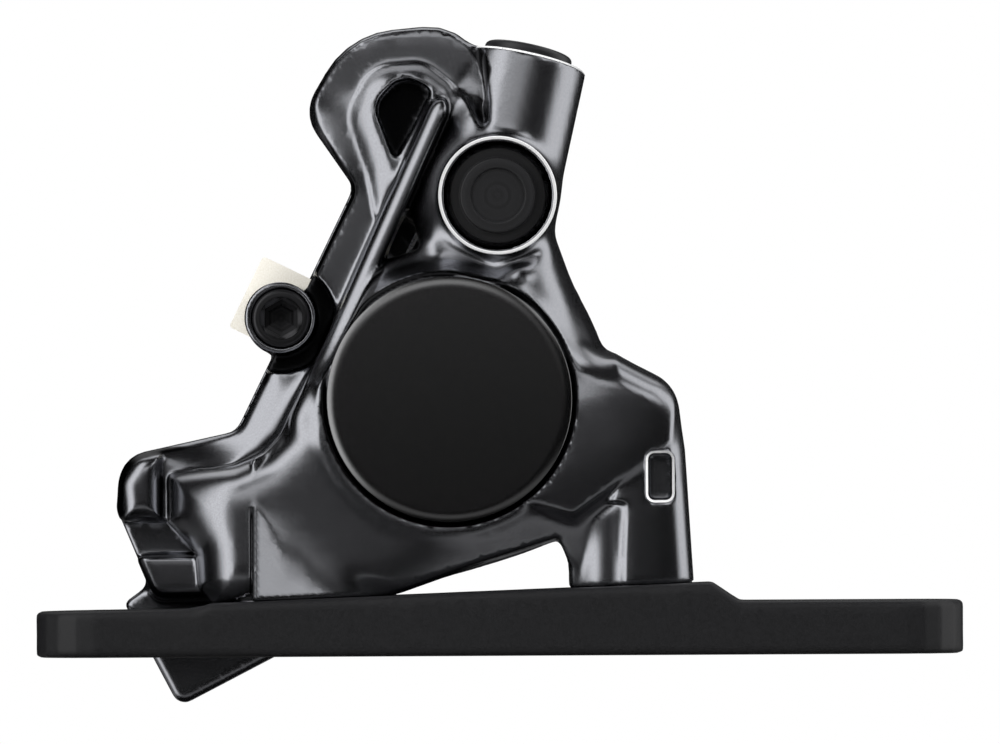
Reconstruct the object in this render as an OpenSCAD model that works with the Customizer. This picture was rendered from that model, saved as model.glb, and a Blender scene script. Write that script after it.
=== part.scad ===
// Flat-mount hydraulic disc brake caliper on its reversible fork plate.
// X runs along the plate, Y from the outboard side towards the wheel, Z off the fork.
// The origin lies on the plate's fork face, midway between the two fork bolts.
// Depths of the body are counted from the rotor's middle plane, outboard positive.

/* [Mounting plate] */
// Length of the plate
plate_length = 85; // [82:0.5:95]
// Width of the plate across the fork
plate_width = 15; // [14:0.5:16]
// Corner radius of the plate seen from above
plate_corner = 5.5; // [2:0.5:7]
// Thickness of the plate's left end
plate_left_t = 4.2; // [3.6:0.1:4.8]
// Thickness of the plate's right end
plate_right_t = 4.9; // [4.2:0.1:6]
// Height of the sloping seat at its left end
seat_left_h = 4.9; // [4.9:0.1:6.5]
// Height of the sloping seat at its right end
seat_right_h = 6.6; // [6:0.1:8]
// Distance between the two fork bolts
fork_pitch = 70; // [66:0.5:72]
// Diameter of each fork bolt hole
fork_hole_d = 6.2; // [5.4:0.1:6.8]
// Diameter of the sunk seat for a fork bolt's head
fork_head_d = 10; // [9:0.1:11]
// Depth of the sunk seat for a fork bolt's head
fork_head_depth = 1.6; // [0.8:0.1:2.2]

/* [Caliper bolts] */
// Distance between the two bolts that hold the caliper to the plate
bolt_pitch = 34; // [33:0.5:36]
// How far the two bolts stand to the left of the plate's middle
bolt_shift = 5; // [4:0.5:6]
// Diameter of a caliper bolt
bolt_d = 5; // [4:0.5:6]
// Diameter of a caliper bolt's head
bolt_head_d = 8.4; // [8:0.1:9]
// Height of a caliper bolt's head
bolt_head_h = 2; // [1.6:0.1:2.2]
// Width across the flats of a bolt's hexagon socket
bolt_key = 4; // [3:0.5:4]
// Length of bolt inside the caliper's foot
bolt_engage = 5.5; // [5:0.25:6]
// Thickness of the wire of the clip that keeps a bolt from backing out
bolt_clip_wire = 0.6; // [0.4:0.1:0.8]

/* [Rotor] */
// Diameter of the rotor that the caliper is set up for
rotor_d = 160; // [158:1:162]
// Thickness of the rotor
rotor_t = 1.8; // [1.6:0.1:2]
// Radius from the wheel axle to the middle of the pads
track_radius = 72.5; // [71:0.5:74]
// Distance from the bolts' plane to the rotor's middle plane
rotor_offset = 14; // [13.5:0.25:15]
// Radial room between the rotor's edge and the body
rotor_room = 1.5; // [1:0.1:2]
// Width of the body's slot for the rotor
rotor_slot_w = 5.2; // [4.6:0.1:6]

/* [Pads] */
// Gap between each pad and the rotor at rest
run_gap = 0.25; // [0.2:0.05:0.4]
// Thickness of the friction lining
lining_t = 2.1; // [1.6:0.1:2.4]
// Thickness of the pad's steel back plate
pad_plate_t = 1.9; // [1.6:0.1:2.2]
// Width of a pad along the rotor's run
pad_w = 26; // [24:0.5:27]
// Height of a pad towards the wheel axle
pad_h = 14.5; // [13.5:0.5:15.5]
// Corner radius of a pad
pad_corner = 2.2; // [1:0.1:3]
// Border of bare back plate above and below the lining
lining_border = 1.2; // [0.8:0.1:1.6]
// Border of bare back plate at each side of the lining, where the spring lies
lining_side = 3; // [2.6:0.1:3.4]
// Width of the tab that the pad axle goes through
tab_w = 7.2; // [6.5:0.1:8]
// How far the tab reaches past the pad axle
tab_past_axle = 4; // [3.5:0.1:4.5]
// How far the tab's middle stands above the pad axle
tab_shift = 0.8; // [0:0.1:1]
// Thickness of the return spring's sheet
spring_t = 0.35; // [0.25:0.05:0.45]

/* [Pistons] */
// Diameter of a piston
piston_d = 19; // [17.5:0.5:20]
// Length of a piston
piston_len = 8.4; // [7.5:0.1:9]
// Diameter of the hollow in a piston's face
piston_cup_d = 13; // [10:0.5:15]
// Depth of the hollow in a piston's face
piston_cup_depth = 5; // [3:0.5:6]
// Room for fluid behind a piston that is pushed back
fluid_room = 0.9; // [0.7:0.1:1.5]
// Width of a piston's square seal
seal_w = 2; // [1.6:0.1:2.4]
// Depth of a piston's square seal
seal_depth = 1.3; // [1:0.1:1.6]

/* [Bore cap] */
// Land of the cap around the piston's diameter
cap_land = 1.7; // [1.5:0.1:2.2]
// Thickness of the cap's visible flange
cap_flange_t = 2; // [1.6:0.1:2.6]
// Length of the cap's spigot in the bore
cap_spigot = 2; // [1.8:0.1:2.6]

/* [Body] */
// X of the pistons' axis
piston_x = -4.5; // [-5.5:0.25:-3.5]
// Z of the pistons' axis
piston_z = 23.4; // [22.5:0.25:24.5]
// Lean of the pads from upright, in degrees
lean = 26; // [24:0.5:28]
// Depth of the flat outboard face of the bridge
flank_depth = 10; // [9.5:0.25:11]
// Depth of the shoulder around the cap's cone
shoulder_depth = 12.8; // [12:0.2:13.5]
// Depth of the broad front face below the cap
web_depth = 17.4; // [17.2:0.1:17.8]
// Depth of the crest of the long rib
rib_depth = 12.8; // [12.4:0.1:13.4]
// Width of the long rib
rib_w = 1.6; // [1.2:0.1:2]
// Gap between the cap's edge and the rib
rib_gap = 0.1; // [0.1:0.05:0.4]
// Width of the bridge's outboard strip beside the rib
strip_w = 4.1; // [3.6:0.1:4.6]
// Radius of the round end lobe of the bridge
lobe_r = 8.2; // [7.8:0.1:8.6]
// Depth of the raised rim round the lobe's pocket
lobe_rim_depth = 11.2; // [11:0.1:12]
// Depth of the inboard face of the bridge
inboard_depth = 12; // [11.5:0.25:13]
// Thickness of the wall behind the inboard piston
end_wall = 2.1; // [1.6:0.1:3]
// Width of the right foot along the plate
right_foot_w = 10.7; // [10:0.1:11.5]
// Width of the left foot along the plate
left_foot_w = 12.4; // [11.5:0.1:13]
// Depth of the feet across the plate
foot_depth = 12.4; // [11.5:0.1:13]

/* [Pad axle] */
// How far the pad axle stands outside the rib's outer edge
axle_past_rib = 4.1; // [3.8:0.1:4.6]
// Diameter of the pad axle's plain shaft
axle_d = 3.8; // [3.4:0.1:4.2]
// Diameter of the pad axle's head
axle_head_d = 5.3; // [5:0.1:5.6]
// Length of the pad axle's head
axle_head_h = 2.6; // [2:0.1:3]
// Width across the flats of the pad axle's hexagon socket
axle_key = 3; // [2.5:0.5:3]
// Wall of the ear round the pad axle's head
axle_ear_wall = 0.8; // [0.6:0.1:1]

/* [Bleed port] */
// X of the bleed port's axis
bleed_x = 0; // [-0.5:0.25:0.5]
// Z of the bleed port's axis
bleed_z = 42; // [41.5:0.25:43]
// Outer diameter of the bleed port's boss
bleed_boss_d = 10.9; // [10.4:0.1:11.4]
// Wall of the bleed port's cup
bleed_cup_wall = 0.55; // [0.4:0.05:0.7]
// Depth of the bleed boss's machined face
bleed_face_depth = 16.4; // [16:0.2:17]
// Depth of the floor of the bleed port's cup
bleed_floor_depth = 11; // [10.6:0.2:11.4]
// Diameter of the bleed nipple's thread
bleed_thread_d = 5; // [4.5:0.1:5.5]
// Diameter of the bleed nipple's spout
bleed_spout_d = 3.6; // [3.2:0.1:4]
// Width across the flats of the bleed nipple's hexagon
bleed_key = 5.5; // [5:0.1:6]
// Gap between the rubber bleed cap and its cup
bleed_cap_gap = 0.5; // [0.3:0.05:0.7]

/* [Hose port] */
// Sideways lean of the hose port, in degrees
hose_lean_side = 12.4; // [11:0.2:14]
// Lean of the hose port towards the wheel, in degrees
hose_lean_in = 9; // [7:0.5:11]
// Diameter of the hose port's boss
hose_boss_d = 11; // [10.4:0.1:11.4]
// Length of the hose port's boss from the bleed port's axis
hose_boss_len = 12.9; // [12.4:0.1:13.6]
// Depth of the hose port's axis where it meets the bleed port
hose_depth = 8; // [7.9:0.1:8.4]
// Diameter of the hose port's thread
hose_thread_d = 7.2; // [6.8:0.1:7.4]
// Length of the hose port's thread
hose_thread_len = 7.5; // [6.5:0.1:8]
// Diameter of the dust plug's flange
plug_flange_d = 8.1; // [7.8:0.1:8.6]
// Thickness of the dust plug's flange
plug_flange_t = 0.95; // [0.8:0.05:1.2]

/* [Hidden] */
$fn = 64;
fine = 32;
bit = 0.02;
arc_steps = 5;
thread_gap = 0.05;
bolt_gap = 0.25;
slide_gap = 0.05;
press_gap = 0.02;

// Places along the plate
left_bolt_x = -bolt_shift - bolt_pitch / 2;
right_bolt_x = -bolt_shift + bolt_pitch / 2;
seat_left_x = left_bolt_x - left_foot_w / 2 + 1.9;
seat_right_x = right_bolt_x + right_foot_w / 2 + 2.1;
bolt_seat = bolt_head_h + 1;
bolt_sink_r = bolt_head_d / 2 + 0.2;
bolt_clip_from = 0.25;
seat_ramp = 2.5;
seat_step = 1.4;
seat_slope = (seat_right_h - seat_left_h) / (seat_right_x - seat_left_x);

// Depths of the pads and pistons, from the rotor's middle plane
pad_face = rotor_t / 2 + run_gap;
pad_back = pad_face + lining_t + pad_plate_t;
pocket_depth = pad_back + 0.45;
bore_depth = pad_back + piston_len + fluid_room;
cap_seat_depth = bore_depth + cap_spigot;
end_depth = bore_depth + end_wall;
seal_from = pocket_depth + 2;
feed_depth = pad_back + piston_len - 0.8;
piston_heel = 1.5;
block_depth = rotor_offset - plate_width / 2 - 1;
foot_back = rotor_offset - foot_depth / 2;
arm_depth = cap_seat_depth - 0.25;
cut_depth = 24;

// Radii about the pistons' axis
bore_r = piston_d / 2 + slide_gap;
seal_r = piston_d / 2 + slide_gap + seal_depth;
cap_r = piston_d / 2 + cap_land;
spigot_r = bore_r + 0.75;
cone_top_r = cap_r + 0.5;
core_r = cap_r + 2.6;
housing_side = cap_r;
cap_edge = 0.6;
cap_room = 0.25;
oring_w = 0.8;
cap_groove_from = 0.5;

// Places in the pads' frame: x towards the wheel axle, z along the rotor's run
rib_x = cap_r + rib_gap + rib_w / 2;
strip_x = rib_x + strip_w;
axle_x = rib_x + axle_past_rib + 0.9;
axle_ear_r = axle_head_d / 2 + axle_ear_wall;
axle_head_seat = flank_depth - 1;
axle_recess_r = axle_ear_r + 1.45;
axle_thread_r = axle_d / 2 + 0.3;
axle_thread_len = 3;
axle_groove = 0.5;
axle_clip_t = 0.6;
axle_tail = 1.4;
ear_floor = 7.4;
ear_end = inboard_depth + 0.3;
pad_hole_gap = 0.1;
spring_loop = 2.2;
pocket_w = pad_w + 0.5;
slot_r = rotor_d / 2 + rotor_room;
lobe_x = rib_x + 3;
lobe_z = 21.4;
rib_top = 24.4;
lobe_pocket_floor = 7;

// Bleed port and hose port
bleed_cup_r = bleed_boss_d / 2 - bleed_cup_wall;
bleed_cap_r = bleed_cup_r - bleed_cap_gap;
nipple_tip_depth = hose_depth + 0.8;
nipple_hex_h = 1.4;
washer_t = 0.5;
nipple_end_depth = bleed_face_depth - 1.8;
passage_r = 0.9;
way_start = 1.9 * passage_r;
cross_x = -rib_x - 0.9;
cross_z = 19.5;
cross_from = lobe_pocket_floor - 2;
cross_feed = pocket_depth - 1.2;
plug_len = 3;
cross_r = passage_r + 0.35;
plug_r = cross_r + 0.6;
hose_stem_len = 4.5;

// Rounded outlines

function unit(v) = v / norm(v);

// Points of one corner b between a and c, rounded to radius r where its edges leave room
function corner(a, b, c, r) =
    let (
        u = unit(a - b),
        w = unit(c - b),
        half = acos(u * w) / 2,
        room = 0.49 * min(norm(a - b), norm(c - b)) * tan(half),
        q = min(r, room),
        middle = b + unit(u + w) * q / sin(half),
        from = b + u * q / tan(half) - middle,
        to = b + w * q / tan(half) - middle,
        start = atan2(from.y, from.x),
        turn = (atan2(to.y, to.x) - start + 540) % 360 - 180
    )
    r <= 0 ? [b] : [
        for (k = [0:arc_steps])
            let (t = start + turn * k / arc_steps)
            middle + q * [cos(t), sin(t)]
    ];

// Outline through corners given as [x, z, radius]
function rounded(p) = [
    for (i = [0:len(p) - 1])
        let (a = p[(i + len(p) - 1) % len(p)], b = p[i], c = p[(i + 1) % len(p)])
        each corner([a.x, a.y], [b.x, b.y], [c.x, c.y], b.z)
];

// A corner placed from an anchor point
function from(anchor, x, z, r) = [anchor.x + x, anchor.y + z, r];

// Unit step to the left of a line at its point i
function left_of(p, i) =
    let (v = unit(p[min(i + 1, len(p) - 1)] - p[max(i - 1, 0)]))
    [-v.y, v.x];

// Outline of a line drawn with width w
function stroke(p, w) = concat(
    [for (i = [0:len(p) - 1]) p[i] + left_of(p, i) * w / 2],
    [for (i = [len(p) - 1:-1:0]) p[i] - left_of(p, i) * w / 2]
);

function seat_h(x) = seat_left_h + (x - seat_left_x) * seat_slope;

// A point of the pads' frame in the row's own X and Z
function on_pads(x, z) = [
    piston_x + x * cos(lean) + z * sin(lean),
    piston_z - x * sin(lean) + z * cos(lean)
];

// Frames and slabs

// Upright outline carried from one depth to another, outboard positive
module slab(d0, d1) {
    translate([0, rotor_offset - d0, 0]) rotate([90, 0, 0]) linear_extrude(d1 - d0) children();
}

module pads_frame() {
    translate([piston_x, rotor_offset, piston_z]) rotate([0, lean, 0]) children();
}

module pads_slab(d0, d1) {
    pads_frame() translate([0, -d0, 0]) rotate([90, 0, 0]) linear_extrude(d1 - d0) children();
}

// Round bar across the body at a point of the pads' frame
module cross_bar(x, z, r, d0, d1) {
    pads_frame() translate([x, -d0, z]) rotate([90, 0, 0]) cylinder(r = r, h = d1 - d0);
}

// Round bar across the body at a point of the row's frame
module y_bar(x, z, r, d0, d1) {
    translate([x, rotor_offset - d0, z]) rotate([90, 0, 0]) cylinder(r = r, h = d1 - d0);
}

// Outline given by X and depth, carried upright
module plan_block(points, z0, z1) {
    translate([0, 0, z0]) linear_extrude(z1 - z0)
        polygon([for (p = points) [p.x, rotor_offset - p.y]]);
}

// Form with flat faces, given by its outboard corners as [x, z, depth]
module facets(points) {
    hull() for (p = points)
        slab(foot_back, p.z) translate([p.x, p.y]) square(bit, center = true);
}

module hose_frame() {
    translate([bleed_x, rotor_offset - hose_depth, bleed_z])
        rotate([-hose_lean_in, 0, 0]) rotate([0, hose_lean_side, 0]) children();
}

module ring(r_in, r_out, h) {
    rotate_extrude() translate([r_in, 0]) square([r_out - r_in, h]);
}

module hexagon(flats, h) {
    cylinder(d = flats / cos(30), h = h, $fn = 6);
}

// Caliper body

piston_at = [piston_x, piston_z];
bleed_at = [bleed_x, bleed_z];
left_foot_at = [left_bolt_x, seat_left_h];
right_foot_at = [right_bolt_x, seat_right_h];
cross_at = on_pads(cross_x, cross_z);

// Point r away from a towards b
function toward(a, b, r) = a + unit(b - a) * r;

// Point of the row's X and Z at a depth
function row_point(p, d) = [p.x, rotor_offset - d, p.y];

// Window beside the right bolt
window_outline = [
    from(right_foot_at, 1.6, 7.6, 1),
    from(right_foot_at, 3.8, 7.6, 1),
    from(right_foot_at, 3.8, 11.7, 1),
    from(right_foot_at, 1.6, 11.7, 1)
];

// Strip beside the rib, with the end lobe above and the lower lug below
bridge_outline = [
    [-strip_x, 13.6, 1.6],
    [-strip_x, -11, 1.8],
    [-strip_x - 8.6, -17.8, 3],
    [-strip_x - 6.9, -22.4, 2.4],
    [-strip_x - 0.3, -28.2, 1.5],
    [-strip_x + 4.8, -25.6, 0],
    [-rib_x + 1, -14, 0],
    [-rib_x + 1, 14, 0],
    [-lobe_x + 7.4, lobe_z - 3, 0],
    [-lobe_x + 8.4, lobe_z + 3, 2],
    [-lobe_x + 2.2, lobe_z + 10.8, lobe_r],
    [-lobe_x - 7.8, lobe_z + 4.7, lobe_r],
    [-lobe_x - 8.4, lobe_z - 3.7, 3.5]
];

// Block of the inboard half that reaches down past the plate
lower_block_outline = [
    [-18.8, -29.8, 0.6],
    [-10.1, -36.2, 1.2],
    [-4.3, -28.4, 0],
    [2.6, -18.4, 0],
    [-4, -12, 0],
    [-strip_x + 0.5, -24, 0]
];

// Inboard half behind the rotor
inboard_outline = [
    [-strip_x, 13.4, 1.2],
    [-strip_x, -12, 1],
    [-strip_x + 2, -24, 0],
    [-5.2, -27, 0],
    [1.6, -17.6, 6],
    [13, -8.8, 3],
    [core_r, 4, 5],
    [7, 13.5, 5],
    [-4.5, 21, 3],
    [-lobe_x, lobe_z, 0]
];

// Right-hand arm from the bleed boss over the shoulder to the right foot
arm_outline = [
    from(bleed_at, -7, -4, 0),
    from(bleed_at, -2, 4, 0),
    from(bleed_at, 5.3, 0.4, 0),
    from(bleed_at, 5.4, -3.2, 2),
    from(piston_at, 13.8, 4.5, 1.5),
    from(right_foot_at, 3.9, 17.6, 3.5),
    from(right_foot_at, right_foot_w / 2 - 0.5, 12, 0),
    from(right_foot_at, -right_foot_w / 2, 6.5, 0),
    from(piston_at, 0, -6, 0)
];

// Web under the cap between the two feet, with the arch over the plate
web_outline = [
    from(left_foot_at, -8.4, 11.8, 0.5),
    from(left_foot_at, -8.4, 7.4, 0.5),
    from(left_foot_at, -5.8, 4.6, 0.5),
    from(left_foot_at, -5.5, 1.4, 0.6),
    from(left_foot_at, -4, -0.4, 0.3),
    from(left_foot_at, 8.2, -0.6, 0),
    from(piston_at, 3, -14.8, 6),
    from(right_foot_at, -right_foot_w / 2 - 0.4, 4.4, 2.4),
    from(right_foot_at, -right_foot_w / 2 + 2, 2, 0),
    from(right_foot_at, 5, 2, 0),
    from(right_foot_at, 5, 13, 0),
    from(piston_at, 0, 4, 0),
    from(left_foot_at, 5, 20.2, 1),
    from(left_foot_at, 3.9, 18.4, 0.5),
    from(left_foot_at, 2.1, 15.2, 3),
    from(left_foot_at, 0.4, 13.6, 3),
    from(left_foot_at, -2.2, 12.5, 3)
];

// Leg from the right foot up to the shoulder, which shares the web's front face
leg_outline = [
    from(right_foot_at, -8, 7.4, 0),
    from(piston_at, 6.5, 2.6, 0),
    from(piston_at, 13.8, 4.5, 1.5),
    from(right_foot_at, 3.9, 17.6, 3.5),
    from(right_foot_at, 4.9, 12, 4),
    from(right_foot_at, right_foot_w / 2, 6, 0)
];

// The front face rounds away at its left end and turns to the right beside the right foot
front_plan = [
    [left_foot_at.x - 12, 0],
    [left_foot_at.x - 12, web_depth - 6.1],
    [left_foot_at.x - 8.4, web_depth - 6.1],
    [left_foot_at.x - 6.3, web_depth - 2.5],
    [left_foot_at.x - 4.2, web_depth - 0.5],
    [left_foot_at.x - 2, web_depth],
    [right_foot_at.x, web_depth],
    [right_foot_at.x + 8, web_depth - 2.4],
    [right_foot_at.x + 8, 0]
];

// Crest of the web from the arch's left end up to the right leg; below it the front slopes back
ridge_from = left_foot_at + [8.9, 1.1];
ridge_to = right_foot_at + [2.25, 13.1];
ridge_down = [ridge_to.y - ridge_from.y, ridge_from.x - ridge_to.x] / norm(ridge_to - ridge_from);
ridge_slope = 0.85;
ridge_reach = 8;
ridge_cut = [
    concat(ridge_from, web_depth),
    concat(ridge_to, web_depth),
    concat(ridge_from + ridge_down * ridge_reach, web_depth - ridge_slope * ridge_reach),
    concat(ridge_to + ridge_down * ridge_reach, web_depth - ridge_slope * ridge_reach)
];

// Gusset over the left bolt: a flat flare with an upright wall at its left
left_edge = left_foot_at.x - 0.6;
flare_depth = web_depth + 3.2;
flare_w = 8.6;
flare_h = 8.2;
flare_facets = [
    [left_edge, left_foot_at.y - 4, flare_depth],
    [left_edge, left_foot_at.y + 0.5, flare_depth],
    [left_edge + flare_w, left_foot_at.y - 4, flare_depth - 0.36 * flare_w],
    [left_edge + flare_w, left_foot_at.y + 0.5, flare_depth - 0.36 * flare_w],
    [left_edge, left_foot_at.y + 0.5 + flare_h, flare_depth - 0.38 * flare_h]
];

// Right foot: a column with a lower pillar at its left
right_inner = right_foot_at.x - right_foot_w / 2 - 0.15;
right_outer = right_foot_at.x + right_foot_w / 2 + 0.4;
right_plan = [
    [right_inner, foot_back],
    [right_inner, web_depth - 4.7],
    [right_inner + 1.2, web_depth - 1.9],
    [right_foot_at.x - 1.6, web_depth - 0.7],
    [right_foot_at.x - 1.1, web_depth - 0.7],
    [right_foot_at.x, web_depth + 0.3],
    [right_outer - 1.3, web_depth - 1],
    [right_outer, web_depth - 2.4],
    [right_outer, foot_back]
];
right_outline = [
    from(right_foot_at, -8, -5, 0),
    from(right_foot_at, right_foot_w / 2 + 2, -5, 0),
    from(right_foot_at, right_foot_w / 2 + 2, 11, 0),
    from(right_foot_at, 2.2, 12.8, 0.3),
    from(right_foot_at, -0.4, 10.4, 1),
    from(right_foot_at, -3.4, 5.6, 1),
    from(right_foot_at, -4.4, 4, 1),
    from(right_foot_at, -5.5, 2, 0.6),
    from(right_foot_at, -8, 0, 0)
];

// Back of the arm in a frame along its right-hand edge: distance from that edge, then depth
arm_from = bleed_at + [5.4, -3.2];
arm_to = piston_at + [13.8, 4.5];
arm_lean = atan2(arm_to.x - arm_from.x, arm_from.y - arm_to.y);
arm_round = 7.2;
arm_back = [
    [0, 0],
    for (a = [0:15:90]) [arm_round * (1 - cos(a)), arm_depth - arm_round * (1 - sin(a))],
    [22, arm_depth],
    [22, 0]
];

// Long rib past the cap, down to where the web's own edge takes over
rib_path = [on_pads(-rib_x - 0.3, rib_top), on_pads(-rib_x + 0.7, -7)];

// Teardrop rim and pocket in the lobe
rim_outline = [
    [-rib_x - 0.1, lobe_z + 4.2, 1],
    [-lobe_x - 0.4, lobe_z + 4.9, 2.5],
    [-lobe_x - 4.3, lobe_z + 2.6, 3],
    [-lobe_x - 4.1, lobe_z - 1.8, 3],
    [-lobe_x - 0.2, lobe_z - 5.8, 2],
    [-rib_x - 1.1, 12.6, 0],
    [-rib_x + 0.6, 13.3, 0]
];
tear_outline = [
    [-rib_x - 1.5, lobe_z + 3.5, 0.8],
    [-lobe_x - 1.8, lobe_z + 3.6, 2.2],
    [-lobe_x - 2.9, lobe_z - 0.2, 2],
    [-rib_x - 1.8, lobe_z - 4, 0.4]
];

// Three-cornered pocket between the rib, the bleed boss and the cap
gusset_outline = [
    [-rib_x + 0.8, 14.7, 0.3],
    [-rib_x + 3.7, 11.3, 0.5],
    [-rib_x + 0.9, 8.6, 0.3]
];

// Two bumps at the bridge's lower end and the notch between them
lug_upper_outline = [
    from(left_foot_at, -8.9, 13.6, 0.3),
    from(left_foot_at, -11.2, 13.4, 2),
    from(left_foot_at, -12.8, 11.1, 2),
    from(left_foot_at, -12.5, 7.55, 0.6),
    from(left_foot_at, -8.9, 7.55, 0.3)
];
lug_lower_outline = [
    from(left_foot_at, -10.7, 4.2, 0.5),
    from(left_foot_at, -6, 4.3, 0.3),
    from(left_foot_at, -5.4, 1.1, 0.3),
    from(left_foot_at, -9.5, 0.9, 0.5)
];
lug_notch_outline = [
    from(left_foot_at, -14, 7.5, 0),
    from(left_foot_at, -7, 7.5, 0),
    from(left_foot_at, -5, 4.2, 0),
    from(left_foot_at, -14, 4.2, 0)
];
lug_notch_floor = 3.5;

// Housing round the outboard piston and the cone under the cap, trimmed where the rib runs past
module cylinder_housing() {
    intersection() {
        union() {
            cross_bar(0, 0, core_r, 0, shoulder_depth - 0.4);
            pads_frame() translate([0, -shoulder_depth + 0.5, 0]) rotate([90, 0, 0])
                cylinder(r1 = core_r - 0.6, r2 = cone_top_r, h = cap_seat_depth - shoulder_depth + 0.5);
        }
        pads_frame() translate([-housing_side, -cut_depth, -core_r - 1])
            cube([housing_side + core_r + 1, cut_depth, 2 * core_r + 2]);
    }
}

// Round-backed arm from the bleed boss to the shoulder
module arm() {
    intersection() {
        translate([arm_from.x, rotor_offset, arm_from.y]) rotate([0, -arm_lean, 0]) translate([0, 0, -36])
            linear_extrude(50) polygon([for (p = arm_back) [-p.x, -p.y]]);
        slab(0, cut_depth) polygon(rounded(arm_outline));
    }
}

// Web between the feet and the leg behind one front face, with the slope below its crest
module web() {
    difference() {
        intersection() {
            plan_block(front_plan, 0, bleed_z);
            union() {
                slab(0, cut_depth) polygon(rounded(web_outline));
                slab(0, cut_depth) polygon(rounded(leg_outline));
            }
        }
        hull() for (p = ridge_cut)
            slab(p.z, cut_depth) translate([p.x, p.y]) square(bit, center = true);
    }
}

module left_foot() {
    intersection() {
        facets(flare_facets);
        slab(0, cut_depth) polygon(rounded(web_outline));
    }
}

module right_foot() {
    intersection() {
        plan_block(right_plan, 1, bleed_z);
        slab(0, cut_depth) polygon(rounded(right_outline));
    }
}

// Bleed boss with the broad fillet that runs out to its left
module bleed_boss() {
    y_bar(bleed_x, bleed_z, bleed_boss_d / 2, rotor_slot_w / 2, bleed_face_depth);
    intersection() {
        translate([bleed_x, rotor_offset - flank_depth + 0.5, bleed_z]) rotate([90, 0, 0])
            cylinder(r1 = bleed_boss_d / 2 + 3.6, r2 = bleed_boss_d / 2 - 0.2, h = 3.8);
        slab(0, cut_depth) translate([bleed_x - 13, bleed_z - 12]) square([12, 24]);
    }
}

module body_forging() {
    // Bridge from the outboard face through to the inboard face
    pads_slab(-inboard_depth, flank_depth) polygon(rounded(bridge_outline));
    pads_slab(-inboard_depth + 0.4, block_depth) polygon(rounded(lower_block_outline));
    // Inboard half with the bulge of the blind bore
    pads_slab(-inboard_depth + 0.2, 0) polygon(rounded(inboard_outline));
    cross_bar(0, 0, core_r - 0.8, -end_depth, 0);
    slab(-inboard_depth + 0.5, flank_depth + 1.5) polygon(rounded(lug_upper_outline));
    slab(-inboard_depth + 0.5, flank_depth - 0.5) polygon(rounded(lug_lower_outline));
    // Outboard half
    cylinder_housing();
    arm();
    web();
    left_foot();
    right_foot();
    pads_slab(pocket_depth - 1, lobe_rim_depth) polygon(rounded(rim_outline));
    // Bosses of the bleed port and of the hose port
    bleed_boss();
    hose_frame() translate([0, 0, -5]) cylinder(d = hose_boss_d, h = hose_boss_len + 5);
}

// Pockets of the forging
module body_pockets() {
    cross_bar(-axle_x, 0, axle_recess_r, ear_floor, rib_depth + 1);
    pads_slab(lobe_pocket_floor, rib_depth + 1) polygon(rounded(tear_outline));
    pads_slab(lobe_pocket_floor, rib_depth + 1) polygon(rounded(gusset_outline));
    slab(lug_notch_floor, cut_depth) polygon(rounded(lug_notch_outline));
    // Window beside the right bolt
    translate([0, -foot_depth, 0]) rotate([-90, 0, 0]) mirror([0, 1, 0])
        linear_extrude(foot_depth + 1) polygon(rounded(window_outline));
}

// Ears of the pad axle
module body_ears() {
    cross_bar(-axle_x, 0, axle_ear_r, pocket_depth - 0.5, axle_head_seat + axle_head_h - 0.3);
    cross_bar(-axle_x, 0, axle_ear_r, -ear_end, -pocket_depth + 0.5);
}

// Rotor slot, pad pocket and the sloping seat under the feet
module body_slots() {
    cross_bar(track_radius, 0, slot_r, -rotor_slot_w / 2, rotor_slot_w / 2, $fn = 128);
    pads_slab(-pocket_depth, pocket_depth) translate([-strip_x - 12, -pocket_w / 2])
        square([strip_x + 12 + pad_h / 2 + 1, pocket_w]);
    translate([0, plate_width / 2 + 0.6, 0]) rotate([90, 0, 0]) linear_extrude(plate_width + 1.2)
        polygon([
            [seat_left_x - 12, -4], [seat_right_x + 12, -4],
            [seat_right_x + 12, seat_h(seat_right_x + 12)], [seat_left_x - 12, seat_h(seat_left_x - 12)]
        ]);
}

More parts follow.
